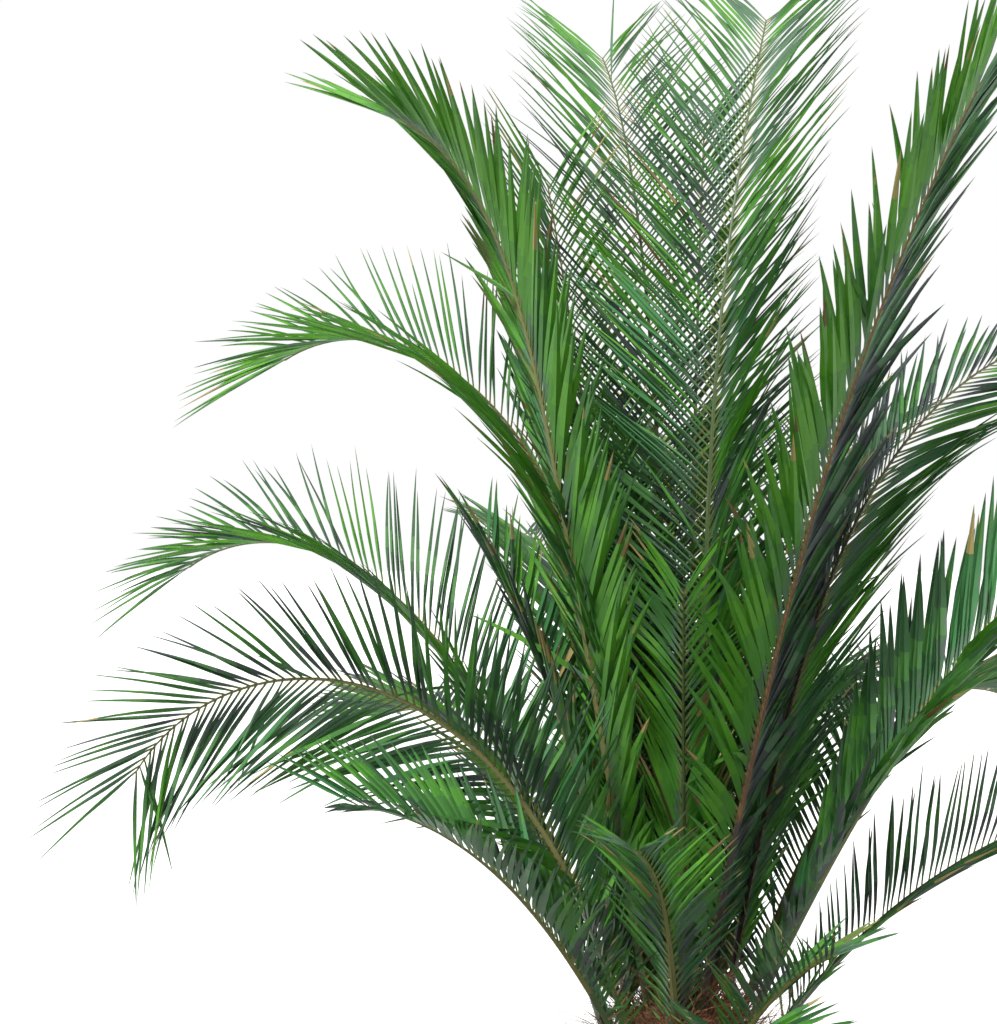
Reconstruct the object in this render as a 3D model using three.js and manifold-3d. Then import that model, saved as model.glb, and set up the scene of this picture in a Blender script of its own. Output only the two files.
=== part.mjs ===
// A young feather-leaved date palm: a short stout trunk clad in the stubs of its cut leaves, and a
// crown of long fronds that rise from its head and arch outwards.
//
// Millimetres, +Z up. The origin is the middle of the flat cut under the trunk, at ground level.
// -Y is the front of the crown, and +X is on the right of whoever faces it.
//
// Every frond follows one rule: its rib leaves the head at an angle, bends over along its length,
// and carries two rows of pointed leaflets, set in a shallow V. A frond that bends round a wide
// gap is two solids that meet face to face. No two solids touch.

import * as THREE from "three";
import { mergeVertices } from "three/addons/utils/BufferGeometryUtils.js";
import Module from "manifold-3d";

const wasm = await Module();
wasm.setup();

// ---- driving dimensions, in millimetres and degrees ----

const CLEARANCE = 0.35; // between solids that the real palm holds together
const SPLIT_GAP = 0.5; // between the two pieces of one frond
const WELD = 1e-4; // corners nearer to each other than this are one

const TRUNK_SIDES = 18;
const TRUNK_LEAN = new THREE.Vector2(-14, 8); // how far the head stands off the foot
const TRUNK_PROFILE = [
  // height above the ground, radius
  [0, 238],
  [35, 214],
  [100, 184],
  [200, 172],
  [320, 178],
  [400, 168],
  [455, 142],
  [500, 108],
  [530, 66],
  [546, 24],
];
const ROOT_LOBES = 7; // low buttresses round the flare
const ROOT_LOBE_DEPTH = 14;
const ROOT_FLARE_HEIGHT = 120;

const BOOT_ROWS = 5; // rows of cut leaf stubs up the trunk
const BOOTS_A_ROW = 9;
const BOOT_FIRST_ROW = 92;
const BOOT_ROW_RISE = 62;
const BOOT = { width: 104, height: 84, stand: 34, sink: 24 };
const BOOT_CUT = { width: 54, low: 0.22, high: 0.56 }; // its flat end, as shares of the height

const FOOT_TOP = 490; // height of a frond's foot in the middle of the head
const FOOT_DROP = 0.75; // how fast the feet sink towards the rim of the head
const OLD_LEAN = 50; // fronds that lean further are old ones, and leave lower still
const OLD_DROP = 2.5; // by this for each degree
const RIB_STEPS = 48; // steps of the walk along a rib
const ROLL_ENDS = 0.45; // share of the rib by which the roll of its blade is complete
const SWEEP_CURL = 1.5; // how late its heading twists

const PETIOLE = 0.16; // share of a frond that is bare stalk
const PETIOLE_STATIONS = [0, 0.35, 0.7, 1].map((share) => share * PETIOLE);
const RIB_TIP = 0.985; // share at which the rib ends in its last leaflet
const RIB_WIDTH = 31; // at the foot
const RIB_DEPTH = 24;
const RIB_END_WIDTH = 7; // at the tip
const RIB_END_DEPTH = 6;
const RIB_TAPER = 0.7; // below 1 it thins faster near the foot
const RIB_SECTION = [
  // left edge, keel and right edge, as shares of the width across and of the depth up
  [-0.5, 1 / 3],
  [0, -2 / 3],
  [0.5, 1 / 3],
];
const SPLIT_BEND = 58; // a frond that bends further than this is split at its bend
const SPLIT_SHARE = 0.42; // share of the bend that the lower piece takes

const LEAFLET_SPACING = 72; // along the rib, on each side
const LEAFLET_LENGTH = 400; // the longest, on a frond of the length below
const LEAFLET_FROND = 1800;
const LONG_LEAFLETS = { a: 1.12, e: 1.15, g: 1.1 }; // longer by this, and 1 for all others
const LEAFLET_GROWTH = { first: 0.45, from: 0.14, to: 0.36 }; // the lowest ones are shorter
const LEAFLET_SHRINK = { from: 0.55, by: 0.3, curl: 1.5 }; // and so are those near the tip
const LEAFLET_ROOT = 0.35; // where each springs, as a share of the way between two stations
const LEAFLET_OPEN = { foot: 50, tip: 33, curl: 3 }; // angle from the rib
const LEAFLET_LIFT = { foot: 42, tip: 18 }; // rise of each row out of the blade's plane
const LIFT_SHARE = { a: 0.15, e: 0.15, f: -0.6, g: 0.5, h: 0.7 }; // of that rise, and 1 for all others
const LEAFLET_DROOP = 0.07; // sag of a leaflet's tip, as a share of its length
const LEAFLET_SHORTEST = 90;
const SHARED_VOLUME = 4; // cubic millimetres that two leaflets of a frond may share at their roots
const LEAFLET_WIDTH = 36; // at its widest
const LEAFLET_WIDEST = 0.38; // share of its length at which that lies
const LEAFLET_CROWDING = 0.86; // share of the room between two leaflets that one may fill
const LEAFLET_THICKNESS = 0.018; // of its length, at its widest
const LAST_LEAFLET = [1, 0.7, 0.4]; // shares of its length tried for the one at the very tip

// Where a leaflet would touch another frond it is turned or shortened by the first of these that
// leaves it free, and skipped if none does: turn from the rib, turn out of the plane, length.
const NUDGES = [
  [0, 0, 1],
  [-6, 0, 1],
  [6, 0, 1],
  [0, 8, 1],
  [0, -8, 1],
  [-9, 10, 0.95],
  [8, -10, 0.95],
  [-5, 16, 0.9],
  [7, -18, 0.9],
  [-14, -6, 0.85],
  [12, 8, 0.8],
  [-4, 24, 0.75],
  [4, -26, 0.7],
  [-16, 8, 0.6],
  [0, 0, 0.45],
];

// name, azimuth of the frond, lean of its foot from upright, how far it bends by its tip, how late
// it bends, twist of its heading, roll of its blade, length, distance of its foot from the axis
const FRONDS = [
  ["a", 194, 10, 59, 8.5, 0, 3, 1845, 56],
  ["b", 164, 9, 118, 3.5, 0, -25, 1770, 27],
  ["c", 104, 6, 54, 3.0, 0, 0, 2200, 60],
  ["d", 40, 1, 62, 3.8, 45, 0, 2160, 36],
  ["e", 325, 13, 19, 2.0, 0, 15, 1850, 28],
  ["f", 20, 12, 86, 3.2, 0, 24, 1740, 70],
  ["g", 345, 26, 44, 2.0, 0, 27, 1650, 90],
  ["h", 12, 38, 60, 1.4, 0, 15, 1150, 125],
  ["i", 206, 20, 132, 2.1, 0, -106, 1430, 92],
  ["j", 168, 19, 112, 3.2, 0, -20, 1500, 130],
  ["k", 222, 34, 48, 2.0, 0, -25, 870, 115],
  ["l", 262, 14, 60, 1.8, -10, 0, 560, 90],
  ["m", 130, 8, 8, 1.5, 0, 0, 1750, 95],
  ["n", 85, 5, 22, 2.0, 0, 0, 1900, 85],
  ["o", 306, 40, 30, 1.6, 0, 0, 440, 112],
  ["p", 270, 1, 5, 1.6, 0, 0, 860, 50],
  ["q", 286, 58, 50, 1.6, 0, 0, 560, 120],
  ["r", 162, 10, 20, 1.6, 0, 0, 1030, 97],
  ["s", 52, 30, 76, 1.8, 0, 0, 1300, 135],
  ["t", 75, 34, 90, 1.9, 0, 0, 1450, 130],
  ["u", 102, 44, 80, 1.7, 0, 0, 1400, 150],
  ["v", 126, 34, 72, 1.9, 0, 0, 1250, 140],
  ["w", 92, 20, 74, 2.4, 0, 0, 1750, 122],
  ["x", 64, 16, 60, 2.4, 0, 0, 1500, 100],
  ["y", 112, 21, 66, 2.3, 0, 0, 1400, 120],
  ["low_a", 243, 76, 36, 1.5, 0, 0, 900, 125],
  ["low_b", 272, 74, 38, 1.5, 0, 0, 820, 125],
  ["low_c", 302, 76, 36, 1.5, 0, 0, 900, 125],
  ["low_d", 334, 82, 30, 1.3, 0, 0, 950, 125],
  ["low_e", 212, 82, 30, 1.3, 0, 0, 950, 125],
].map(([name, azimuth, lean, bow, curl, sweep, roll, length, foot]) => ({
  name,
  azimuth,
  lean,
  bow,
  curl,
  sweep,
  roll,
  length,
  foot,
}));

// ---- helpers ----

const radians = THREE.MathUtils.degToRad;
const mix = THREE.MathUtils.lerp;
const smooth = THREE.MathUtils.smoothstep;

// A mesh of corners and triangles that is filled piece by piece.
class Body {
  constructor() {
    this.corners = [];
    this.faces = [];
  }
  corner(point) {
    this.corners.push(point);
    return this.corners.length - 1;
  }
  ring(points) {
    return points.map((point) => this.corner(point));
  }
  face(...loop) {
    for (let i = 1; i < loop.length - 1; i += 1) {
      this.faces.push([loop[0], loop[i], loop[i + 1]]);
    }
  }
  // The wall between two rings that run anticlockwise seen from the second.
  wall(low, high) {
    low.forEach((_, i) => {
      const j = (i + 1) % low.length;
      this.face(low[i], low[j], high[j], high[i]);
    });
  }
  geometry() {
    const positions = new Float32Array(this.corners.flatMap((p) => [p.x, p.y, p.z]));
    return new THREE.BufferGeometry()
      .setAttribute("position", new THREE.BufferAttribute(positions, 3))
      .setIndex(this.faces.flat());
  }
}

function solidOf(geometry) {
  const bare = geometry.clone();
  bare.deleteAttribute("normal");
  bare.deleteAttribute("uv");
  const merged = mergeVertices(bare, WELD);
  return new wasm.Manifold(
    new wasm.Mesh({
      numProp: 3,
      vertProperties: new Float32Array(merged.attributes.position.array),
      triVerts: new Uint32Array(merged.index.array),
    }),
  );
}

function geometryOf(solid) {
  const made = solid.getMesh();
  const positions = new Float32Array(made.numVert * 3);
  for (let i = 0; i < made.numVert; i += 1) {
    const start = i * made.numProp;
    positions.set(made.vertProperties.subarray(start, start + 3), i * 3);
  }
  return new THREE.BufferGeometry()
    .setAttribute("position", new THREE.BufferAttribute(positions, 3))
    .setIndex(new THREE.BufferAttribute(new Uint32Array(made.triVerts), 1));
}

function largestBody(solid) {
  return solid.decompose().sort((a, b) => b.volume() - a.volume())[0];
}

function meshOf(name, geometry, material) {
  geometry.computeVertexNormals();
  const mesh = new THREE.Mesh(geometry, material);
  mesh.name = name;
  return mesh;
}

// ---- the rib of a frond ----

// The directions at a share u of the rib: along it, to its side, and out of its upper face.
function framing(frond, u) {
  const bend = radians(frond.lean + frond.bow * u ** frond.curl);
  const heading = radians(frond.azimuth + frond.sweep * u ** SWEEP_CURL);
  const roll = radians(frond.roll) * smooth(u, 0, ROLL_ENDS);
  const out = new THREE.Vector3(Math.cos(heading), Math.sin(heading), 0);
  const along = out.clone().multiplyScalar(Math.sin(bend)).setZ(Math.cos(bend));
  const level = new THREE.Vector3(-out.y, out.x, 0);
  const upper = out.clone().multiplyScalar(-Math.cos(bend)).setZ(Math.sin(bend));
  const side = level.clone().multiplyScalar(Math.cos(roll)).addScaledVector(upper, Math.sin(roll));
  const face = upper.clone().multiplyScalar(Math.cos(roll)).addScaledVector(level, -Math.sin(roll));
  return { along, side, face };
}

// The points of the rib, walked from its foot in equal steps.
function walk(frond) {
  const heading = radians(frond.azimuth);
  const point = new THREE.Vector3(
    TRUNK_LEAN.x + frond.foot * Math.cos(heading),
    TRUNK_LEAN.y + frond.foot * Math.sin(heading),
    FOOT_TOP - FOOT_DROP * frond.foot - OLD_DROP * Math.max(0, frond.lean - OLD_LEAN),
  );
  const points = [point.clone()];
  for (let i = 0; i < RIB_STEPS; i += 1) {
    const { along } = framing(frond, (i + 0.5) / RIB_STEPS);
    point.addScaledVector(along, frond.length / RIB_STEPS);
    points.push(point.clone());
  }
  return points;
}

function pointOn(points, u) {
  const place = Math.min(Math.max(u, 0), 1) * RIB_STEPS;
  const i = Math.min(Math.floor(place), RIB_STEPS - 1);
  return points[i].clone().lerp(points[i + 1], place - i);
}

// The three corners of the rib's section: left edge, keel and right edge. `grow` widens it all
// round, for the socket that it stands in.
function section(frond, points, u, grow = 0) {
  const { side, face } = framing(frond, u);
  const width = mix(RIB_WIDTH, RIB_END_WIDTH, u ** RIB_TAPER);
  const depth = mix(RIB_DEPTH, RIB_END_DEPTH, u ** RIB_TAPER);
  const inner = (width * depth) / (width + 2 * Math.hypot(width / 2, depth));
  const scale = 1 + grow / inner;
  return RIB_SECTION.map(([across, up]) =>
    pointOn(points, u)
      .addScaledVector(side, across * width * scale)
      .addScaledVector(face, up * depth * scale),
  );
}

// ---- leaflets ----

function leafletLength(frond, u) {
  const grown = mix(LEAFLET_GROWTH.first, 1, smooth(u, LEAFLET_GROWTH.from, LEAFLET_GROWTH.to));
  const past = Math.max(0, (u - LEAFLET_SHRINK.from) / (1 - LEAFLET_SHRINK.from));
  const shrunk = 1 - LEAFLET_SHRINK.by * past ** LEAFLET_SHRINK.curl;
  const longest = LEAFLET_LENGTH * Math.sqrt(frond.length / LEAFLET_FROND);
  return longest * (LONG_LEAFLETS[frond.name] ?? 1) * grown * shrunk;
}

// The leaflet that springs at u on one side (-1 left, 1 right): its tip, and the three corners of
// its widest section, which are its lower edge, its upper edge and its keel.
function leafletShape(frond, points, u, hand, [turn, lift, share]) {
  const { along, side, face } = framing(frond, u);
  const open = radians(mix(LEAFLET_OPEN.foot, LEAFLET_OPEN.tip, u ** LEAFLET_OPEN.curl) + turn);
  const risen = (LIFT_SHARE[frond.name] ?? 1) * mix(LEAFLET_LIFT.foot, LEAFLET_LIFT.tip, u);
  const rise = radians(risen + lift);
  const length = leafletLength(frond, u) * share;
  const course = along
    .clone()
    .multiplyScalar(Math.cos(open))
    .addScaledVector(side, hand * Math.cos(rise) * Math.sin(open))
    .addScaledVector(face, Math.sin(rise) * Math.sin(open));
  const root = pointOn(points, u);
  const tip = root.clone().addScaledVector(course, length);
  tip.z -= LEAFLET_DROOP * length;
  const middle = root.clone().addScaledVector(course, length * LEAFLET_WIDEST);
  const upper = along.clone().addScaledVector(course, -along.dot(course)).normalize();
  const under = new THREE.Vector3().crossVectors(upper, course).multiplyScalar(-hand);
  const room = LEAFLET_SPACING * Math.sin(open) * LEAFLET_CROWDING;
  const half = (Math.min(LEAFLET_WIDTH, room) * Math.sqrt(share)) / 2;
  const keel = length * LEAFLET_THICKNESS;
  const low = middle.clone().addScaledVector(upper, -half);
  const high = middle.clone().addScaledVector(upper, half);
  return { tip, low, high, keel: middle.addScaledVector(under, keel) };
}

// Draws a leaflet out of a four-cornered patch of the rib's flank. `turns` says which corner of the
// widest section each corner of the patch runs to.
function drawLeaflet(body, patch, turns, shape) {
  const section = { low: body.corner(shape.low), high: body.corner(shape.high) };
  section.keel = body.corner(shape.keel);
  const tip = body.corner(shape.tip);
  patch.forEach((corner, i) => {
    const next = (i + 1) % 4;
    const near = section[turns[i]];
    const far = section[turns[next]];
    if (near === far) {
      body.face(corner, patch[next], near);
    } else {
      body.face(corner, patch[next], far, near);
      body.face(near, far, tip);
    }
  });
}

// The same leaflet as a solid of its own, closed across its root.
function leafletSolid(corners, turns, shape) {
  const body = new Body();
  const patch = body.ring(corners);
  drawLeaflet(body, patch, turns, shape);
  body.face(patch[0], patch[3], patch[2], patch[1]); // split as the rib's flank is
  return solidOf(body.geometry());
}

// The pyramid from three corners to a tip.
function spikeSolid(corners, tip) {
  const body = new Body();
  const base = body.ring(corners);
  const top = body.corner(tip);
  base.forEach((corner, i) => body.face(corner, base[(i + 1) % 3], top));
  body.face(...[...base].reverse());
  return solidOf(body.geometry());
}

// ---- what is already standing, so that nothing is grown through it ----

const standing = [];

function boxOf(solid) {
  const { min, max } = solid.boundingBox();
  return new THREE.Box3(new THREE.Vector3(...min), new THREE.Vector3(...max));
}

function stand(solid, owner) {
  standing.push({ solid, owner, box: boxOf(solid).expandByScalar(CLEARANCE) });
}

function isFree(solid, owner) {
  const box = boxOf(solid);
  return !standing.some(
    (other) =>
      other.box.intersectsBox(box) &&
      (other.owner === owner
        ? solid.intersect(other.solid).volume() > SHARED_VOLUME
        : solid.minGap(other.solid, 2 * CLEARANCE) < CLEARANCE),
  );
}

// ---- a frond ----

// Cuts a frond into the runs of u that its pieces cover.
function runsOf(frond) {
  const name = `frond_${frond.name}`;
  if (frond.bow <= SPLIT_BEND) return [{ name, from: 0, to: RIB_TIP }];
  const bend = SPLIT_SHARE ** (1 / frond.curl);
  const gap = SPLIT_GAP / frond.length;
  return [
    { name: `${name}_lower`, from: 0, to: bend },
    { name: `${name}_outer`, from: bend + gap, to: RIB_TIP },
  ];
}

// The shares of the rib at which a piece has its sections.
function stationsOf(frond, run) {
  const start = Math.max(run.from, PETIOLE);
  const cells = Math.round(((run.to - start) * frond.length) / LEAFLET_SPACING);
  const stations = run.from < PETIOLE ? PETIOLE_STATIONS.slice(0, -1) : [];
  for (let i = 0; i <= cells; i += 1) stations.push(mix(start, run.to, i / cells));
  return stations;
}

// The closed solid through a row of sections.
function solidThrough(sections) {
  const body = new Body();
  const rings = sections.map((points) => body.ring(points));
  body.face(...[...rings[0]].reverse());
  rings.slice(1).forEach((ring, i) => body.wall(rings[i], ring));
  body.face(...rings.at(-1));
  return solidOf(body.geometry());
}

// The rib alone, which stands before any leaflet is grown.
function ribSolid(frond, points, run) {
  return solidThrough(stationsOf(frond, run).map((u) => section(frond, points, u)));
}

// The room that a frond's stalk takes in the head, with its clearance.
function socketSolid(frond, points) {
  const sections = PETIOLE_STATIONS.map((u) => section(frond, points, u, CLEARANCE));
  const { along } = framing(frond, 0);
  sections[0].forEach((corner) => corner.addScaledVector(along, -CLEARANCE));
  return solidThrough(sections);
}

// One closed body: the three-sided rib, with a leaflet drawn out of each flank of each cell.
function frondGeometry(frond, points, run) {
  const body = new Body();
  const stations = stationsOf(frond, run);
  const rings = stations.map((u) => body.ring(section(frond, points, u)));
  body.face(...[...rings[0]].reverse());
  rings.slice(1).forEach((high, i) => {
    const low = rings[i];
    const [left, keel, right] = low;
    const [leftUp, keelUp, rightUp] = high;
    body.face(right, left, leftUp, rightUp);
    const u = mix(stations[i], stations[i + 1], LEAFLET_ROOT);
    const flanks = [
      { hand: -1, patch: [left, keel, keelUp, leftUp], turns: ["low", "keel", "keel", "high"] },
      { hand: 1, patch: [keel, right, rightUp, keelUp], turns: ["keel", "low", "high", "keel"] },
    ];
    for (const flank of flanks) {
      const shape = stations[i] < PETIOLE ? null : growLeaflet(frond, points, run, body, flank, u);
      if (shape === null) {
        body.face(...flank.patch);
      } else {
        drawLeaflet(body, flank.patch, flank.turns, shape);
      }
    }
  });
  const end = rings.at(-1);
  const last = run.to === RIB_TIP ? growTip(frond, points, run, body, end) : null;
  if (last === null) {
    body.face(...end);
  } else {
    const top = body.corner(last);
    end.forEach((corner, k) => body.face(corner, end[(k + 1) % 3], top));
  }
  return body.geometry();
}

// Finds a free place for a leaflet, and returns its shape, or null where there is none.
function growLeaflet(frond, points, run, body, { hand, patch, turns }, u) {
  const corners = patch.map((corner) => body.corners[corner]);
  for (const nudge of NUDGES) {
    if (leafletLength(frond, u) * nudge[2] < LEAFLET_SHORTEST) continue;
    const shape = leafletShape(frond, points, u, hand, nudge);
    const solid = leafletSolid(corners, turns, shape);
    if (solid.volume() > 0 && isFree(solid, run.name)) {
      stand(solid, run.name);
      return shape;
    }
  }
  return null;
}

// The last leaflet, which runs straight on from the rib.
function growTip(frond, points, run, body, end) {
  const { along } = framing(frond, RIB_TIP);
  const corners = end.map((corner) => body.corners[corner]);
  for (const share of LAST_LEAFLET) {
    const length = leafletLength(frond, 1) * share;
    const tip = pointOn(points, RIB_TIP).addScaledVector(along, length);
    tip.z -= LEAFLET_DROOP * length;
    const solid = spikeSolid(corners, tip);
    if (isFree(solid, run.name)) {
      stand(solid, run.name);
      return tip;
    }
  }
  return null;
}

// ---- the trunk ----

function trunkRadius(height) {
  const i = Math.max(
    1,
    TRUNK_PROFILE.findIndex(([z]) => z >= height),
  );
  const [lowZ, lowR] = TRUNK_PROFILE[i - 1];
  const [highZ, highR] = TRUNK_PROFILE[i];
  return mix(lowR, highR, (height - lowZ) / (highZ - lowZ));
}

function trunkCentre(height) {
  const share = height / TRUNK_PROFILE.at(-1)[0];
  return new THREE.Vector3(TRUNK_LEAN.x * share, TRUNK_LEAN.y * share, height);
}

function trunkCore() {
  const sections = TRUNK_PROFILE.map(([height, radius]) => {
    const lobes = ROOT_LOBE_DEPTH * (1 - smooth(height, 0, ROOT_FLARE_HEIGHT));
    const points = [];
    for (let i = 0; i < TRUNK_SIDES; i += 1) {
      const angle = (2 * Math.PI * i) / TRUNK_SIDES;
      const reach = radius + lobes * Math.cos(ROOT_LOBES * angle);
      const spoke = new THREE.Vector3(Math.cos(angle), Math.sin(angle), 0);
      points.push(trunkCentre(height).addScaledVector(spoke, reach));
    }
    return points;
  });
  return solidThrough(sections);
}

// One cut leaf stub: a broad scale that clasps the trunk below and stands out above, where it ends
// in a flat cut that faces up and out.
function boot(height, angle) {
  const out = new THREE.Vector3(Math.cos(angle), Math.sin(angle), 0);
  const side = new THREE.Vector3(-out.y, out.x, 0);
  const centre = trunkCentre(height);
  const at = (reach, across, up) =>
    centre
      .clone()
      .addScaledVector(out, reach)
      .addScaledVector(side, across)
      .setZ(height + up);
  const skin = trunkRadius(height);
  const back = skin - BOOT.sink;
  const half = BOOT.width / 2;
  const end = BOOT_CUT.width / 2;
  const low = BOOT.height * BOOT_CUT.low;
  const high = BOOT.height * BOOT_CUT.high;
  return solidThrough([
    [
      at(back, -half, -BOOT.height / 2),
      at(back, half, -BOOT.height / 2),
      at(back, half, BOOT.height / 2),
      at(back, -half, BOOT.height / 2),
    ],
    [
      at(skin + BOOT.stand, -end, low),
      at(skin + BOOT.stand, end, low),
      at(skin, end, high),
      at(skin, -end, high),
    ],
  ]);
}

function trunkGeometry(sockets) {
  let trunk = trunkCore();
  for (let row = 0; row < BOOT_ROWS; row += 1) {
    for (let i = 0; i < BOOTS_A_ROW; i += 1) {
      const angle = (2 * Math.PI * (i + (row % 2) / 2)) / BOOTS_A_ROW;
      trunk = trunk.add(boot(BOOT_FIRST_ROW + row * BOOT_ROW_RISE, angle));
    }
  }
  for (const socket of sockets) trunk = trunk.subtract(socket);
  return geometryOf(largestBody(trunk));
}

// ---- the assembly ----

const palm = new THREE.Group();
palm.name = "date_palm";

const grown = FRONDS.map((frond) => ({ frond, points: walk(frond), runs: runsOf(frond) }));

const sockets = grown.map(({ frond, points }) => socketSolid(frond, points));
const bark = new THREE.MeshStandardMaterial({ color: 0x735542, roughness: 0.95, metalness: 0 });
const trunkMesh = meshOf("trunk", trunkGeometry(sockets), bark);
palm.add(trunkMesh);
stand(solidOf(trunkMesh.geometry), "trunk");

for (const { frond, points, runs } of grown) {
  for (const run of runs) stand(ribSolid(frond, points, run), run.name);
}

for (const { frond, points, runs } of grown) {
  for (const run of runs) {
    const leaf = new THREE.MeshStandardMaterial({ color: 0x3d6630, roughness: 0.6, metalness: 0 });
    palm.add(meshOf(run.name, frondGeometry(frond, points, run), leaf));
  }
}

export default palm;
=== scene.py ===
# %% [markdown]
# # A young date palm
#
# This notebook dresses a date palm: a short stout trunk clad in the stubs of its cut leaves, and
# thirty feather fronds that rise from its head and arch outwards. The solid model behind it has the
# true reach of every frond, but with few, wide leaflets. Here each frond grows again by the same
# rule, with all of its leaflets, and the trunk gets its fibre.
#
# Everything is in metres, with Z up and the origin in the middle of the flat cut under the trunk.
# -Y is the front of the crown.

# %% Load the fixed frame
import math
from collections import namedtuple

import bpy
import numpy as np
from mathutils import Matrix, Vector, noise


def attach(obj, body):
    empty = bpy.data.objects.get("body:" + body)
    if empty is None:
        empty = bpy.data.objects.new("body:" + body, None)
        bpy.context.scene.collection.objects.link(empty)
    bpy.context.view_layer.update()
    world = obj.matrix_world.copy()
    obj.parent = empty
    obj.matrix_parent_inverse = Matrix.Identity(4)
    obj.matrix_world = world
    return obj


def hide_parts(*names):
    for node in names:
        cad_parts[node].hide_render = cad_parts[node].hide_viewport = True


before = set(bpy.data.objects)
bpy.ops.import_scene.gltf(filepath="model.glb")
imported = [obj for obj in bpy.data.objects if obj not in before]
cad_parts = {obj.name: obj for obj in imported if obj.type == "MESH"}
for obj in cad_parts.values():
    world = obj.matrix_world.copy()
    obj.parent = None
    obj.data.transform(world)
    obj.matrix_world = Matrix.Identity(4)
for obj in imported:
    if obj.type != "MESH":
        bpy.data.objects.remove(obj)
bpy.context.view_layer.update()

# %% [markdown]
# ## The camera
#
# The camera stands five metres in front of the trunk, level and at a little more than half the
# palm's height, so that no frond looms. A long lens keeps the near fronds from swelling. It is
# turned a little to the left of the trunk, because the longest arches hang on that side.

# %% Camera
EYE = Vector((0.0, -5.0, 1.45))
AIM = Vector((-0.364, 0.0, 1.45))
LENS_MM = 93.0

camera = bpy.data.objects.new("camera", bpy.data.cameras.new("camera"))
camera.data.lens = LENS_MM
camera.location = EYE
camera.rotation_mode = "QUATERNION"
camera.rotation_quaternion = (AIM - EYE).to_track_quat("-Z", "Y")
bpy.context.scene.collection.objects.link(camera)
bpy.context.scene.camera = camera
print(f"camera {(AIM - EYE).length:.2f} m from the trunk, lens {LENS_MM:.0f} mm")

# %% [markdown]
# ## Helpers for colours and nodes
#
# Colours are easiest to pick as the hex values that a screen shows, but shaders add light, which
# only works on linear numbers. One function turns the first into the second. Another adds a
# shader node with its settings and links in one call, so that each material below reads as a list
# of what feeds what.


# %% Helpers for colours and nodes
def linear(hex_colour):
    """The linear RGBA of an sRGB hex colour such as '#4f8f24'."""
    shares = [int(hex_colour[i : i + 2], 16) / 255 for i in (1, 3, 5)]
    return (*(s / 12.92 if s <= 0.04045 else ((s + 0.055) / 1.055) ** 2.4 for s in shares), 1.0)


def add(tree, kind, inputs=None, **settings):
    """Adds a node. An input's value is a number, a colour, or another node's output to link."""
    node = tree.nodes.new(kind)
    for name, value in settings.items():
        setattr(node, name, value)
    for name, value in (inputs or {}).items():
        if isinstance(value, bpy.types.NodeSocket):
            tree.links.new(value, node.inputs[name])
        else:
            node.inputs[name].default_value = value
    return node


def new_material(name):
    """An empty node material, with its Principled shader."""
    material = bpy.data.materials.new(name)
    material.use_nodes = True
    return material, material.node_tree, material.node_tree.nodes["Principled BSDF"]


def colour_ramp(tree, factor, stops):
    """A ramp through (position, hex colour) stops, and its colour output."""
    ramp = add(tree, "ShaderNodeValToRGB", {"Fac": factor})
    elements = ramp.color_ramp.elements
    while len(elements) < len(stops):
        elements.new(0.5)
    for element, (position, colour) in zip(elements, stops):
        element.position = position
        element.color = linear(colour)
    return ramp.outputs["Color"]


print("linear('#4f8f24') =", [round(x, 3) for x in linear("#4f8f24")])

# %% [markdown]
# ## What a palm leaflet is made of
#
# A date palm's leaflet is a stiff, fibrous strip under a thin coat of wax. The wax gives a broad,
# dull sheen, so it is fairly rough, with the usual IOR of plant wax, 1.45. The upper face is green,
# the lower face has a grey bloom, and old tips dry to straw. Those colours belong to certain
# leaflets, and they change from one leaflet to the next and not inside one, so each tint is a
# material of its own with a plain base colour, dealt out leaflet by leaflet below. What the tints
# share is the relief: fine parallel veins about a millimetre apart, which run the leaflet's length.
# They follow its own UV map, in which V goes across it.

# %% Leaflet materials
LEAFLET_WIDTH = 0.024
VEIN_SPACING = 0.0013  # real veins are 0.5 mm apart, which is too fine to show
VEIN_HEIGHT = 0.0002
WAX_IOR = 1.45


def leaf_material(name, colour, roughness):
    """One tint of waxed leaflet, with fine veins along it."""
    material, tree, shader = new_material(name)
    shader.inputs["Base Color"].default_value = linear(colour)
    shader.inputs["Roughness"].default_value = roughness
    shader.inputs["IOR"].default_value = WAX_IOR
    uv = add(tree, "ShaderNodeUVMap", uv_map="leaflet")
    veins = add(
        tree,
        "ShaderNodeTexWave",
        # a wave texture has 20 / (2 pi) bands for each unit at scale 1
        {"Vector": uv.outputs["UV"], "Scale": LEAFLET_WIDTH / VEIN_SPACING * math.tau / 20},
        bands_direction="Y",
    )
    bump = add(
        tree,
        "ShaderNodeBump",
        {"Height": veins.outputs["Fac"], "Distance": VEIN_HEIGHT, "Strength": 0.5},
    )
    tree.links.new(bump.outputs["Normal"], shader.inputs["Normal"])
    return material


LEAF_TINTS = {
    "leaflet_spring_green": ("#58982a", 0.50),
    "leaflet_fresh_green": ("#4d8a30", 0.50),
    "leaflet_mid_green": ("#457a38", 0.52),
    "leaflet_deep_green": ("#345f36", 0.54),
    "leaflet_teal_green": ("#3c7842", 0.50),
    "leaflet_bloom_green": ("#527455", 0.58),
    "leaflet_olive_green": ("#687c3c", 0.56),
    # the next tint, a dull grey-green, is painted shade over the leaflets' grey wax
    "leaflet_shaded_grey": ("#48534f", 0.60),
    "leaflet_root": ("#68763f", 0.55),
    "leaflet_straw": ("#a4955f", 0.70),
    "leaflet_brown": ("#6f5a38", 0.75),
}
leaf_materials = [leaf_material(name, *tint) for name, tint in LEAF_TINTS.items()]
TINT = {name.removeprefix("leaflet_"): i for i, name in enumerate(LEAF_TINTS)}
print(f"{len(leaf_materials)} leaflet materials")

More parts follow.
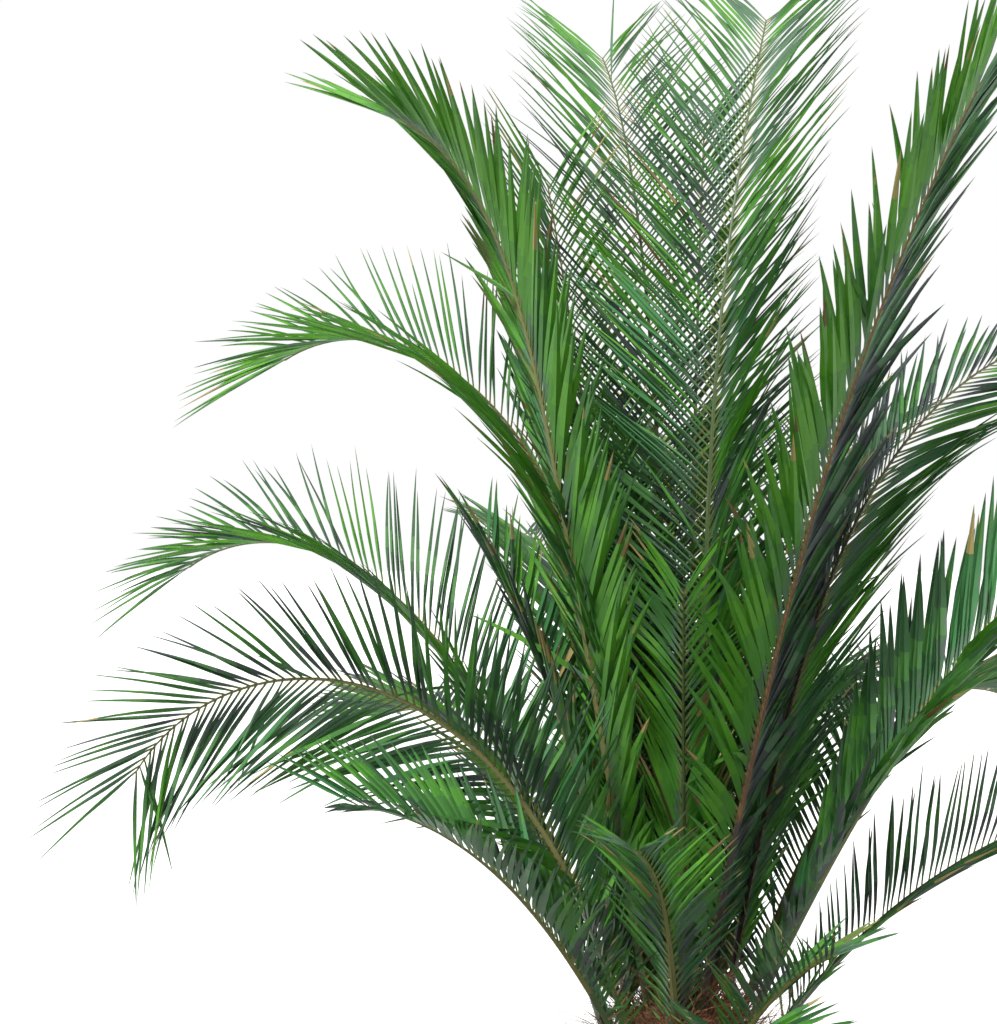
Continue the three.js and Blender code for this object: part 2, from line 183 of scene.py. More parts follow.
# %% [markdown]
# ## Ribs, stalks and spines
#
# The rib of a frond is a hard, smooth, green stalk that turns straw or orange where the sun has
# bleached it. Its skin is glossier than the leaflets and streaked along its length, in streaks a few
# millimetres wide. A Noise texture that is squeezed across the rib and stretched along it gives
# such streaks; the rib's own UV map says which way is along.

# %% Rib materials
STREAK_WIDTH = 0.004
STREAK_LENGTH = 0.12
STREAK_HEIGHT = 0.0006


def rib_material(name, stops, roughness=0.45):
    """A hard, smooth stalk, streaked along its length."""
    material, tree, shader = new_material(name)
    uv = add(tree, "ShaderNodeUVMap", uv_map="rib")  # in metres, X along the rib and Y round it
    squeezed = add(
        tree,
        "ShaderNodeMapping",
        {"Vector": uv.outputs["UV"], "Scale": (1 / STREAK_LENGTH, 1 / STREAK_WIDTH, 1)},
    )
    streaks = add(
        tree, "ShaderNodeTexNoise", {"Vector": squeezed.outputs["Vector"], "Scale": 1, "Detail": 4}
    )
    shader.inputs["Roughness"].default_value = roughness
    tree.links.new(
        colour_ramp(tree, streaks.outputs["Fac"], stops), shader.inputs["Base Color"]
    )
    bump = add(
        tree,
        "ShaderNodeBump",
        {"Height": streaks.outputs["Fac"], "Distance": STREAK_HEIGHT, "Strength": 0.4},
    )
    tree.links.new(bump.outputs["Normal"], shader.inputs["Normal"])
    return material


rib_materials = [
    rib_material("rib_olive", [(0.3, "#4c5a2c"), (0.5, "#6d6b3c"), (0.72, "#85774a")]),
    rib_material("rib_orange", [(0.3, "#462d18"), (0.5, "#623f20"), (0.72, "#7e5730")]),
    rib_material("stalk_green", [(0.3, "#31492a"), (0.5, "#455a34"), (0.72, "#64683e")]),
    rib_material("stalk_dark", [(0.3, "#2a2221"), (0.5, "#3c302d"), (0.72, "#524136")]),
    rib_material("spine_straw", [(0.3, "#666438"), (0.5, "#85794c"), (0.72, "#9c8a5c")]),
]
RIB = {material.name: i for i, material in enumerate(rib_materials)}
print(f"{len(rib_materials)} rib materials")

# %% [markdown]
# ## The fronds and the rule that they follow
#
# Modelling thirty fronds by hand would take days and look stiff. A palm doesn't do that either: all
# of its fronds follow one rule, and differ by a few numbers. So the table holds those numbers, and
# the functions after it hold the rule. A rib leaves the head at an angle, bends over more and more
# along its length, and may turn its blade. The numbers are those of the solid model, in degrees and
# metres.
#
# - azimuth: the compass direction in which it leaves, from +X towards +Y
# - lean: how far its foot leans from upright, and bow: how much further its tip has bent
# - curl: how late it bends, sweep: how far its heading turns, roll: how far its blade turns
# - length: that of its rib, and foot: how far from the middle of the head it leaves
# - age: which tints its leaflets take, and dry: how often their tips are dry

# %% The fronds
Frond = namedtuple("Frond", "name azimuth lean bow curl sweep roll length foot age dry")

FRONDS = [
    Frond("a", 194, 10, 59, 8.5, 0, 3, 1.845, 0.056, "young", 0.05),
    Frond("b", 164, 9, 118, 3.5, 0, -25, 1.770, 0.027, "young", 0.04),
    Frond("c", 104, 6, 54, 3.0, 0, 0, 2.200, 0.060, "grown", 0.02),
    Frond("d", 40, 1, 62, 3.8, 45, 0, 2.160, 0.036, "grown", 0.04),
    Frond("e", 325, 13, 19, 2.0, 0, 15, 1.850, 0.028, "young", 0.10),
    Frond("f", 20, 12, 86, 3.2, 0, 24, 1.740, 0.070, "grown", 0.03),
    Frond("g", 345, 26, 44, 2.0, 0, 27, 1.650, 0.090, "grown", 0.06),
    Frond("h", 12, 38, 60, 1.4, 0, 15, 1.150, 0.125, "old", 0.08),
    Frond("i", 206, 20, 132, 2.1, 0, -106, 1.430, 0.092, "grown", 0.01),
    Frond("j", 168, 19, 112, 3.2, 0, -20, 1.500, 0.130, "grown", 0.01),
    Frond("k", 222, 34, 48, 2.0, 0, -25, 0.870, 0.115, "grown", 0.01),
    Frond("l", 262, 14, 60, 1.8, -10, 0, 0.560, 0.090, "grown", 0.15),
    Frond("m", 130, 8, 8, 1.5, 0, 0, 1.750, 0.095, "young", 0.45),
    Frond("n", 85, 5, 22, 2.0, 0, 0, 1.900, 0.085, "grown", 0.15),
    Frond("o", 306, 40, 30, 1.6, 0, 0, 0.440, 0.112, "old", 0.12),
    Frond("p", 270, 1, 5, 1.6, 0, 0, 0.860, 0.050, "young", 0.60),
    Frond("q", 286, 58, 50, 1.6, 0, 0, 0.560, 0.120, "grown", 0.15),
    Frond("r", 162, 10, 20, 1.6, 0, 0, 1.030, 0.097, "grown", 0.25),
    Frond("s", 52, 30, 76, 1.8, 0, 0, 1.300, 0.135, "old", 0.08),
    Frond("t", 75, 34, 90, 1.9, 0, 0, 1.450, 0.130, "grown", 0.06),
    Frond("u", 102, 44, 80, 1.7, 0, 0, 1.400, 0.150, "old", 0.08),
    Frond("v", 126, 34, 72, 1.9, 0, 0, 1.250, 0.140, "grown", 0.06),
    Frond("w", 92, 20, 74, 2.4, 0, 0, 1.750, 0.122, "grown", 0.05),
    Frond("x", 64, 16, 60, 2.4, 0, 0, 1.500, 0.100, "grown", 0.05),
    Frond("y", 112, 21, 66, 2.3, 0, 0, 1.400, 0.120, "grown", 0.05),
    Frond("low_a", 243, 76, 36, 1.5, 0, 0, 0.900, 0.125, "old", 0.15),
    Frond("low_b", 272, 74, 38, 1.5, 0, 0, 0.820, 0.125, "old", 0.15),
    Frond("low_c", 302, 76, 36, 1.5, 0, 0, 0.900, 0.125, "old", 0.15),
    Frond("low_d", 334, 82, 30, 1.3, 0, 0, 0.950, 0.125, "old", 0.20),
    Frond("low_e", 212, 82, 30, 1.3, 0, 0, 0.950, 0.125, "old", 0.20),
]
print(f"{len(FRONDS)} fronds, {sum(f.length for f in FRONDS):.1f} m of rib")

# %% [markdown]
# The rule itself works on whole arrays of places along a rib at once. NumPy does that far faster
# than a Python loop over thousands of leaflets. A place is u, the share of the rib's length from its
# foot. At each place there are three directions at right angles: along the rib, to its side, and out
# of its upper face.

# %% The rule
TRUNK_LEAN = np.array([-0.014, 0.008])
FOOT_TOP = 0.490  # height of a foot in the middle of the head
FOOT_DROP = 0.75  # how much lower others stand, as a share of their distance from the middle
OLD_LEAN = 50.0
OLD_DROP = 0.0025  # for each degree of lean past that
RIB_STEPS = 192
ROLL_ENDS = 0.45  # the blade has turned in full from here on
SWEEP_CURL = 1.5
UP = np.array([0.0, 0.0, 1.0])


def smooth(x, low, high):
    """The smooth step from 0 at low to 1 at high."""
    t = np.clip((x - low) / (high - low), 0, 1)
    return t * t * (3 - 2 * t)


def framing(frond, u):
    """The directions at places u: along the rib, to its side, and out of its upper face."""
    bend = np.radians(frond.lean + frond.bow * u**frond.curl)[:, None]
    heading = np.radians(frond.azimuth + frond.sweep * u**SWEEP_CURL)
    roll = (np.radians(frond.roll) * smooth(u, 0, ROLL_ENDS))[:, None]
    out = np.stack([np.cos(heading), np.sin(heading), np.zeros_like(u)], axis=1)
    level = np.stack([-out[:, 1], out[:, 0], np.zeros_like(u)], axis=1)
    along = out * np.sin(bend) + UP * np.cos(bend)
    upper = UP * np.sin(bend) - out * np.cos(bend)
    side = level * np.cos(roll) + upper * np.sin(roll)
    face = upper * np.cos(roll) - level * np.sin(roll)
    return along, side, face


def walk(frond):
    """The points of the rib, walked from its foot in equal steps."""
    heading = math.radians(frond.azimuth)
    drop = FOOT_DROP * frond.foot + OLD_DROP * max(0.0, frond.lean - OLD_LEAN)
    foot = np.array(
        [
            TRUNK_LEAN[0] + frond.foot * math.cos(heading),
            TRUNK_LEAN[1] + frond.foot * math.sin(heading),
            FOOT_TOP - drop,
        ]
    )
    along, _, _ = framing(frond, (np.arange(RIB_STEPS) + 0.5) / RIB_STEPS)
    steps = np.cumsum(along, axis=0) * frond.length / RIB_STEPS
    return np.vstack([foot, foot + steps])


def points_on(walked, u):
    """The points at places u of a walked rib."""
    places = np.linspace(0, 1, RIB_STEPS + 1)
    return np.stack([np.interp(u, places, walked[:, k]) for k in range(3)], axis=1)


tips = {frond.name: walk(frond)[-1] for frond in FRONDS}
print("tip of frond b at", tips["b"].round(3))

# %% [markdown]
# ## Meshes from arrays
#
# A leaflet is a few dozen faces, and the crown has about 4,700 leaflets. Particles or instances
# would draw them cheaply, but the palm has to be real geometry that other programs can read. So one
# function turns arrays of points and faces into a mesh object, and each frond's leaflets are joined
# into one such mesh.


# %% Meshes from arrays
def new_piece(name, points, faces, slots, materials, uv=None, uv_name="UVMap"):
    """A mesh object from points, faces and the material slot of each face. `uv` is per point."""
    mesh = bpy.data.meshes.new(name)
    mesh.from_pydata(points.tolist(), [], faces)
    for material in materials:
        mesh.materials.append(material)
    mesh.polygons.foreach_set("material_index", np.asarray(slots, dtype=np.int32))
    if uv is not None:
        corners = np.empty(len(mesh.loops), dtype=np.int32)
        mesh.loops.foreach_get("vertex_index", corners)
        mesh.uv_layers.new(name=uv_name).data.foreach_set("uv", uv[corners].ravel())
    mesh.update()
    piece = bpy.data.objects.new(name, mesh)
    bpy.context.scene.collection.objects.link(piece)
    return piece


def dress(piece, nodes):
    """Says what the piece rides on, and hides the solids that it stands for."""
    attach(piece, "root")
    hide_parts(*nodes)


def triangles_of(piece):
    return sum(len(face.vertices) - 2 for face in piece.data.polygons)


print("mesh helpers ready")

# %% [markdown]
# ## Where the leaflets spring, and how long they are
#
# Leaflets spring from both edges of the rib, a little more apart towards its tip, and the two sides
# don't spring quite opposite each other. They are short on the petiole, longest from a third of the
# way up, and shorter again at the tip. On a young frond in the sun they are broad enough to close
# into a sheet, and on one behind them they stay narrow, like the teeth of a comb, so each frond
# names its share of the full width. Neighbours grew together in sprays of a few, and look alike.

# %% Places and sizes of leaflets
LEAFLETS_FROM = 0.09
RIB_TIP = 0.985
LEAFLET_SPACING = (0.0148, 0.0165)  # at the foot and at the tip of a rib
SPACING_GROWS = (0.4, 0.9)  # between these places
SIDE_STAGGER = 0.1  # of a space, forwards on the left side and back on the right one
PLACE_NOISE = 0.14  # of a space
LEAFLET_LENGTH = 0.400
LEAFLET_FROND = 1.800  # length of the frond that bears leaflets of that length
LONG_LEAFLETS = {"a": 1.12, "e": 1.15, "g": 1.1}  # 1 for all other fronds
LEAFLET_GROWTH = (0.45, 0.14, 0.36)  # share at the foot, and where growth begins and ends
LEAFLET_SHRINK = (0.30, 0.55, 1.5)  # by how much at the tip, from where on, and how late
FULL_WIDTH_LENGTH = 0.30  # shorter leaflets are narrower too
SLIM = {  # share of the full width, 1 for the fronds that aren't named
    "a": 1.20,
    "b": 0.68,
    "c": 0.60,
    "d": 0.64,
    "e": 1.25,
    "f": 0.80,
    "g": 1.30,
    "h": 0.58,
    "i": 0.92,
    "j": 0.66,
    "m": 0.70,
    "n": 0.75,
    "p": 1.15,
    "w": 0.75,
    "x": 0.75,
    "y": 0.75,
}
TIP_SLIMMER_BY = 0.30
TIP_SLIMMER_FROM = 0.35
SPRAY = (2, 7)  # fewest leaflets in a spray, and one more than the most


def between(pair, share):
    """The number at a share of the way from the first of a pair to the second."""
    return pair[0] + (pair[1] - pair[0]) * share


def leaflet_length(frond, u):
    """The same as in the solid model: short at the bottom, longest at a third, shorter at the tip."""
    first, grows_from, grown_at = LEAFLET_GROWTH
    by, shrinks_from, curl = LEAFLET_SHRINK
    grown = first + (1 - first) * smooth(u, grows_from, grown_at)
    shrunk = 1 - by * np.clip((u - shrinks_from) / (1 - shrinks_from), 0, 1) ** curl
    longest = LEAFLET_LENGTH * math.sqrt(frond.length / LEAFLET_FROND)
    return longest * LONG_LEAFLETS.get(frond.name, 1.0) * grown * shrunk


def leaflet_places(frond, hand, rng):
    """Where along the rib the leaflets of one side (-1 left, 1 right) spring."""
    places = [LEAFLETS_FROM]
    while places[-1] < RIB_TIP:
        spacing = between(LEAFLET_SPACING, float(smooth(places[-1], *SPACING_GROWS)))
        places.append(places[-1] + spacing / frond.length)
    steps = np.diff(places)
    stray = rng.normal(0, PLACE_NOISE, len(steps))
    u = np.array(places[:-1]) + steps * (0.5 + SIDE_STAGGER * hand + stray)
    return np.clip(u, LEAFLETS_FROM, RIB_TIP)


def slimness(frond, u):
    """How wide the leaflets at places u are, as a share: they get narrower towards the tip."""
    return SLIM.get(frond.name, 1.0) * (1 - TIP_SLIMMER_BY * smooth(u, TIP_SLIMMER_FROM, 1.0))


def spray_noise(spread, count, rng):
    """Random numbers for a row of leaflets, alike within each spray of a few."""
    sprays = rng.integers(*SPRAY, count)
    which = np.repeat(np.arange(count), sprays)[:count]
    return rng.normal(0, spread, count)[which]


lengths = leaflet_length(FRONDS[0], np.array([LEAFLETS_FROM, 0.4, RIB_TIP])).round(3)
print(f"leaflets of frond {FRONDS[0].name} at its foot, middle and tip: {lengths} m")

# %% [markdown]
# ## Which way the leaflets point
#
# A leaflet leaves the rib forwards and outwards, at an angle that closes towards the tip, and it
# rises out of the rib's upper face, so that the two rows make a V. Some fronds are nearly flat
# instead, or hang their rows below the rib. The blade itself stands on edge at the rib and turns a
# little flatter towards its point. A few leaflets in a hundred are bent well out of line, which the
# eye would miss if they weren't there.

# %% Directions of leaflets
SECTIONS = np.array([0.0, 0.07, 0.18, 0.33, 0.50, 0.66, 0.80, 0.91])  # shares of a leaflet
LEAFLET_OPEN = (50.0, 33.0)  # degrees, at the foot and at the tip of a rib
LEAFLET_OPEN_CURL = 3.0
NARROW = {"f": 0.45, "p": 0.50}  # share of that angle at the foot, where two fronds are crowded
NARROW_ENDS = (0.45, 0.80)
OPEN_NOISE = 1.7
LEAFLET_LIFT = (42.0, 18.0)  # likewise
LIFT_SHARE = {"a": 0.15, "e": 0.15, "f": -0.6, "g": 0.5, "h": 0.7}  # 1 for all other fronds
LIFT_NOISE = 3.5
STRAY_SHARE = 0.03
STRAY_OPEN = (6.0, 12.0)  # mean and spread
STRAY_LIFT = 18.0
STRAY_LENGTH = (0.5, 0.9)
LENGTH_NOISE = (0.90, 1.0)
LEAFLET_TWIST = (80.0, 62.0)  # on edge at the rib, a little flatter towards the point
TWIST_DONE = 0.5
TWIST_NOISE = (6.0, 7.0)  # at the rib and at the point
SPRAY_TWIST = 14.0


def leaflet_courses(frond, u, hand, rng):
    """The direction and the length of each leaflet at places u on one side."""
    count = len(u)
    along, side, face = framing(frond, u)
    stray = rng.random(count) < STRAY_SHARE
    opening = between(LEAFLET_OPEN, u**LEAFLET_OPEN_CURL) + rng.normal(0, OPEN_NOISE, count)
    opening = opening * between((NARROW.get(frond.name, 1.0), 1.0), smooth(u, *NARROW_ENDS))
    opening = opening + stray * rng.normal(*STRAY_OPEN, count)
    lift = LIFT_SHARE.get(frond.name, 1.0) * between(LEAFLET_LIFT, u)
    lift = lift + rng.normal(0, LIFT_NOISE, count) + stray * rng.normal(0, STRAY_LIFT, count)
    opening = np.radians(opening)[:, None]
    lift = np.radians(lift)[:, None]
    course = along * np.cos(opening) + hand * side * np.cos(lift) * np.sin(opening)
    course = course + face * np.sin(lift) * np.sin(opening)
    length = leaflet_length(frond, u) * rng.uniform(*LENGTH_NOISE, count)
    length = length * np.where(stray, rng.uniform(*STRAY_LENGTH, count), 1)
    return course, length


def leaflet_blades(frond, u, course, hand, rng):
    """Across each section of each blade, and out of its upper side."""
    count = len(u)
    along, _, _ = framing(frond, u)
    upper = along - course * np.sum(along * course, axis=1)[:, None]
    upper /= np.linalg.norm(upper, axis=1)[:, None]
    normal = hand * np.cross(upper, course)
    across = -hand * upper
    at_root = LEAFLET_TWIST[0] + rng.normal(0, TWIST_NOISE[0], count)
    at_tip = LEAFLET_TWIST[1] + spray_noise(SPRAY_TWIST, count, rng)
    at_tip = at_tip + rng.normal(0, TWIST_NOISE[1], count)
    twist = between((at_root[:, None], at_tip[:, None]), smooth(SECTIONS, 0.0, TWIST_DONE)[None])
    twist = hand * np.radians(twist)[..., None]
    blade = across[:, None] * np.cos(twist) + normal[:, None] * np.sin(twist)
    above = normal[:, None] * np.cos(twist) - across[:, None] * np.sin(twist)
    return across, blade, above


print(f"leaflets open by {LEAFLET_OPEN[0]:.0f} degrees at the foot, {LEAFLET_OPEN[1]:.0f} at the tip")

# %% [markdown]
# ## One leaflet
#
# A date palm's leaflet is folded along its middle into a gutter that opens upwards. The fold is
# tight where it leaves the rib and opens out towards the tip, and it gives each leaflet its two
# tones: one half catches the light while the other is in shade. The outline is narrow at the root,
# widest at about a third, and runs out to a hard point.
#
# The leaflet is a closed tube of four-cornered sections: right edge, gutter, left edge, keel. That
# is the fewest faces that show the fold from above and the keel from below, and being closed it is
# also a sound solid. All leaflets of one side of a frond are worked out in one go, as an array
# whose first axis is the leaflet and whose second is the corner.

# %% Leaflets
TIP_CORNER = 4 * len(SECTIONS)
ROOT_SHARE = 0.26  # of the full width
WIDEST_AT = 0.32
POINT_CURVE = (1.5, 0.8)
OUTLINE_SCALE = 1.15  # makes up for what the point's curve takes off the widest place
LEAFLET_DROOP = 0.07  # share of its length by which the point of a leaflet sags
DROOP_NOISE = (0.4, 1.5)
SIDE_BEND = 0.025
FOLD = (62.0, 38.0)  # steepness of the two halves at the root and towards the tip
FOLD_OPEN = 0.55
SHEET = (0.0022, 0.0006)  # thickness at the root and at the tip
RIB_WIDTH = (0.030, 0.003)
RIB_DEPTH = (0.023, 0.003)
RIB_TAPER = 0.35
ROOT_OUT, ROOT_UP = 0.36, 0.16  # shares of the rib's width and depth


def leaflet_outline(t):
    """Half the width at shares t of a leaflet, as a share of the widest."""
    swelling = between((ROOT_SHARE, 1), smooth(t, 0, WIDEST_AT))
    return swelling * OUTLINE_SCALE * (1 - t ** POINT_CURVE[0]) ** POINT_CURVE[1]


def leaflet_points(frond, walked, u, hand, rng):
    """The corners of the leaflets that spring at places u on one side (-1 left, 1 right)."""
    count = len(u)
    course, length = leaflet_courses(frond, u, hand, rng)
    across, blade, above = leaflet_blades(frond, u, course, hand, rng)

    _, side, face = framing(frond, u)
    width = between(RIB_WIDTH, u**RIB_TAPER)[:, None]
    depth = between(RIB_DEPTH, u**RIB_TAPER)[:, None]
    root = points_on(walked, u) + hand * side * width * ROOT_OUT + face * depth * ROOT_UP

    t = SECTIONS[None, :, None]
    droop = (LEAFLET_DROOP * rng.uniform(*DROOP_NOISE, count))[:, None, None]
    bend = rng.normal(0.0, SIDE_BEND, count)[:, None, None]  # sideways, in the blade's plane
    reach = length[:, None, None]

    def centre(t):
        straight = root[:, None] + course[:, None] * reach * t
        return straight - UP * droop * reach * t**2 + across[:, None] * bend * reach * t**2

    fold = np.radians(FOLD[1] + (FOLD[0] - FOLD[1]) * (1 - smooth(t, 0, FOLD_OPEN)))
    width_share = np.minimum(1.0, (length / FULL_WIDTH_LENGTH) ** 0.5) * slimness(frond, u)
    half = LEAFLET_WIDTH / 2 * leaflet_outline(t) * width_share[:, None, None]
    sheet = between(SHEET, t) / 2
    middle = centre(t)
    right = middle + blade * half * np.cos(fold) + above * half * np.sin(fold)
    left = middle - blade * half * np.cos(fold) + above * half * np.sin(fold)
    gutter = middle + above * sheet
    keel = middle - above * sheet
    corners = np.stack([right, gutter, left, keel], axis=2).reshape(count, TIP_CORNER, 3)
    tip = centre(np.ones((1, 1, 1)))
    return np.concatenate([corners, tip], axis=1)


def leaflet_faces():
    """The faces of one leaflet by corner, with the section each starts at, and if it is upper."""
    faces, starts, is_upper = [(0, 3, 1), (1, 3, 2)], [0, 0], [False, False]
    for section in range(len(SECTIONS)):
        for k in range(4):
            a = 4 * section + k
            b = 4 * section + (k + 1) % 4
            last = section == len(SECTIONS) - 1
            faces.append((a, b, TIP_CORNER) if last else (a, b, b + 4, a + 4))
            starts.append(section)
            is_upper.append(k < 2)
    return faces, np.array(starts), np.array(is_upper)


LEAFLET_FACES, FACE_STARTS, FACE_IS_UPPER = leaflet_faces()
leaflet_uv = np.zeros((TIP_CORNER + 1, 2))
leaflet_uv[:TIP_CORNER, 0] = np.repeat(SECTIONS, 4)
leaflet_uv[:TIP_CORNER, 1] = np.tile([1.0, 0.5, 0.0, 0.5], len(SECTIONS))
leaflet_uv[TIP_CORNER] = (1.0, 0.5)
print(f"{len(LEAFLET_FACES)} faces a leaflet, {TIP_CORNER + 1} corners")

# %% [markdown]
# ## Dealing out the tints
#
# Neighbouring leaflets grew together and look alike, so tints are dealt to a spray of a few
# leaflets at a time. A leaflet isn't one tint from end to end either: the first stretch is the pale
# swelling that joins it to the rib, the part beside the rib keeps its grey wax, and the part beyond
# is brighter. So what a spray is dealt is a run of tints, one for each stretch of its leaflets.
# Young fronds are dealt bright runs and old ones dull runs. Sides that stand in the sun or in the
# shade of others are dealt bright or dull runs too, which is painted sunlight and painted shade. The
# lower faces are greyer, partly for their wax and partly as painted shade, and a share of the
# leaflets of each frond has a dry tip.

# %% Tints
RUNS = {
    # one tint a stretch, from the rib to the point
    "bright": "root bloom_green fresh_green fresh_green spring_green spring_green fresh_green"
    " mid_green",
    "fresh": "root fresh_green fresh_green spring_green spring_green fresh_green fresh_green"
    " mid_green",
    "middle": "root bloom_green mid_green mid_green fresh_green mid_green mid_green deep_green",
    "teal": "root bloom_green teal_green teal_green teal_green mid_green teal_green deep_green",
    "bloom": "root bloom_green bloom_green bloom_green mid_green deep_green deep_green shaded_grey",
    "deep": "root deep_green deep_green mid_green deep_green deep_green deep_green shaded_grey",
    "olive": "root olive_green olive_green spring_green olive_green olive_green olive_green straw",
    # the grey run is mostly painted shade, for leaflets in the shade of others and the lower faces of
    # dark ones
    "grey": "root shaded_grey shaded_grey bloom_green deep_green shaded_grey shaded_grey"
    " shaded_grey",
}
RUN_TINTS = {name: np.array([TINT[tint] for tint in run.split()]) for name, run in RUNS.items()}
RUN_SHARES = {
    "young": {"bright": 0.36, "fresh": 0.22, "middle": 0.24, "teal": 0.08, "olive": 0.10},
    "grown": {"bright": 0.16, "middle": 0.30, "teal": 0.18, "bloom": 0.16, "deep": 0.20},
    "old": {"middle": 0.26, "teal": 0.12, "bloom": 0.20, "deep": 0.32, "olive": 0.10},
    # dull runs for sides in the shade of other fronds: painted shade
    "shaded": {"deep": 0.36, "grey": 0.40, "bloom": 0.24},
    "leafy": {"middle": 0.34, "teal": 0.30, "deep": 0.36},
    # bright runs for sides in the sun: painted sunlight
    "painted_sunlight": {"bright": 0.50, "fresh": 0.30, "middle": 0.14, "olive": 0.06},
}
# sides whose tints are painted sunlight or painted shade, as the sun falls on them or other fronds
# shade them
PAINTED_LIGHT_SIDES = {  # sides (-1 left, 1 right) that take other shares than those of their frond's age
    ("a", 1): "painted_sunlight",
    ("e", -1): "painted_sunlight",
    ("e", 1): "shaded",
    ("f", -1): "grown",
    ("f", 1): "shaded",
    ("g", 1): "leafy",
    ("h", 1): "shaded",
    ("p", -1): "painted_sunlight",
    ("p", 1): "painted_sunlight",
}
# the lower faces take greyer runs for their wax; the dark runs turn to the grey run, which adds
# painted shade
LOWER_RUNS = {
    "bright": "fresh",
    "fresh": "bright",
    "middle": "middle",
    "teal": "bloom",
    "bloom": "bloom",
    "deep": "grey",
    "olive": "middle",
    "grey": "grey",
}
# how many of the last stretches are dry, and how often, as a multiple of the frond's `dry`
DRY_ENDS = [(2, 1.0), (3, 0.4), (1, 1.4), (6, 0.04)]
STRAW_SHARE = 0.7  # of the dry tips, and the others are brown


def spray_runs(age, count, rng):
    """The name of the run of each leaflet of one side, in sprays."""
    shares = RUN_SHARES[age]
    names = list(shares)
    runs = []
    while len(runs) < count:
        runs += [str(rng.choice(names, p=list(shares.values())))] * int(rng.integers(*SPRAY))
    return runs[:count]


def leaflet_slots(frond, hand, count, rng):
    """The material slot of each face of each leaflet of one side, as an array."""
    # a side that the sun falls on, or that others shade, takes painted sunlight or painted shade in
    # place of its age's shares
    runs = spray_runs(PAINTED_LIGHT_SIDES.get((frond.name, hand), frond.age), count, rng)
    upper = np.array([RUN_TINTS[run][FACE_STARTS] for run in runs])
    lower = np.array([RUN_TINTS[LOWER_RUNS[run]][FACE_STARTS] for run in runs])
    slots = np.where(FACE_IS_UPPER[None, :], upper, lower)
    dry_from = np.full(count, len(SECTIONS))
    for stretches, often in DRY_ENDS:
        is_dry = rng.random(count) < frond.dry * often
        dry_from = np.where(is_dry, np.minimum(dry_from, len(SECTIONS) - stretches), dry_from)
    dry_tint = np.where(rng.random(count) < STRAW_SHARE, TINT["straw"], TINT["brown"])
    return np.where(FACE_STARTS[None, :] >= dry_from[:, None], dry_tint[:, None], slots)


print(f"{len(RUNS)} runs of tints, dealt to sprays of {SPRAY[0]} to {SPRAY[1] - 1} leaflets")

# %% [markdown]
# ## Ribs and spines
#
# The rib is a tapering stalk, flat or slightly hollow above and keeled below. It is lofted: the same
# eight-cornered section is set along the walked line and scaled down towards the tip. Its lower end
# keeps the darker finish of the stalk.

# %% Ribs
RIB_SECTION = np.array(
    # right edge, round the flat top, left edge, round the keel: shares of width and depth
    [(0.5, 0.24), (0.38, 0.34), (0.0, 0.27), (-0.38, 0.34)]
    + [(-0.5, 0.24), (-0.30, -0.20), (0.0, -0.56), (0.30, -0.20)]
)
RIB_SIDES = len(RIB_SECTION)
RING_SPACING = 0.018
RIB_GIRTH = 0.08  # round the rib, for the width of its streaks
PETIOLE = 0.16  # up to here, as a share of the rib's length, it bears spines
STALK_END = 0.22  # up to here the rib has the stalk's finish
DARK_STALKS = ("e", "f", "h")
RIB_FINISH = {  # rib_olive for the fronds that aren't named
    "c": "stalk_green",
    "d": "stalk_green",
    "e": "rib_orange",
    "f": "stalk_dark",
    "h": "stalk_dark",
    "p": "stalk_green",
}


def tube_faces(rings, sides):
    """The faces of a closed tube of rings that run anticlockwise seen from its end."""
    faces = [tuple(range(sides))[::-1]]
    for ring in range(rings - 1):
        for k in range(sides):
            a = ring * sides + k
            b = ring * sides + (k + 1) % sides
            faces.append((a, b, b + sides, a + sides))
    faces.append(tuple((rings - 1) * sides + k for k in range(sides)))
    return faces


def rib_points(frond, walked, u):
    """The corners of the rib's sections at places u."""
    along, side, face = framing(frond, u)
    width = between(RIB_WIDTH, u**RIB_TAPER)
    depth = between(RIB_DEPTH, u**RIB_TAPER)
    across = RIB_SECTION[None, :, 0] * width[:, None]
    up = RIB_SECTION[None, :, 1] * depth[:, None]
    centre = points_on(walked, u)[:, None]
    # a section that goes from the right edge over the top turns anticlockwise about `along`
    return centre + side[:, None] * across[..., None] + face[:, None] * up[..., None]


def rib_parts(frond, walked):
    """Points, faces, slots and UVs of the rib."""
    count = int(frond.length / RING_SPACING)
    u = np.linspace(0, RIB_TIP, count)
    points = rib_points(frond, walked, u).reshape(-1, 3)
    faces = tube_faces(count, RIB_SIDES)
    stalk = RIB["stalk_dark" if frond.name in DARK_STALKS else "stalk_green"]
    rib = RIB[RIB_FINISH.get(frond.name, "rib_olive")]
    ring_slots = np.where(u[:-1] < STALK_END, stalk, rib)
    slots = [stalk, *np.repeat(ring_slots, RIB_SIDES), rib]
    round_it = np.tile(np.arange(RIB_SIDES) / RIB_SIDES, count) * RIB_GIRTH
    uv = np.stack([np.repeat(u * frond.length, RIB_SIDES), round_it], axis=1)
    return points, faces, slots, uv


print(f"rib sections of {RIB_SIDES} corners every {RING_SPACING * 1000:.0f} mm")

# %% [markdown]
# The bare part at the bottom, the petiole, is armed on both edges with hard spines, which are
# leaflets that never opened. Each is a thin pyramid of four faces, longer the higher it stands.

# %% Spines
SPINES_FROM = 0.035
SPINE_SPACING = 0.021
SPINE_PLACE_NOISE = 0.2  # of a space
SPINE_LENGTH = (0.018, 0.085)
SPINE_LENGTH_NOISE = (0.7, 1.1)
SPINE_WIDTH = 0.0032
SPINE_OPEN = (58, 8)  # mean and spread
SPINE_LIFT = (30, 14)
SPINE_ROOT = 0.40  # of the rib's width
SPINE_UV = [(0.0, 0.0), (0.0, 0.004), (0.0, 0.008), (0.06, 0.0)]


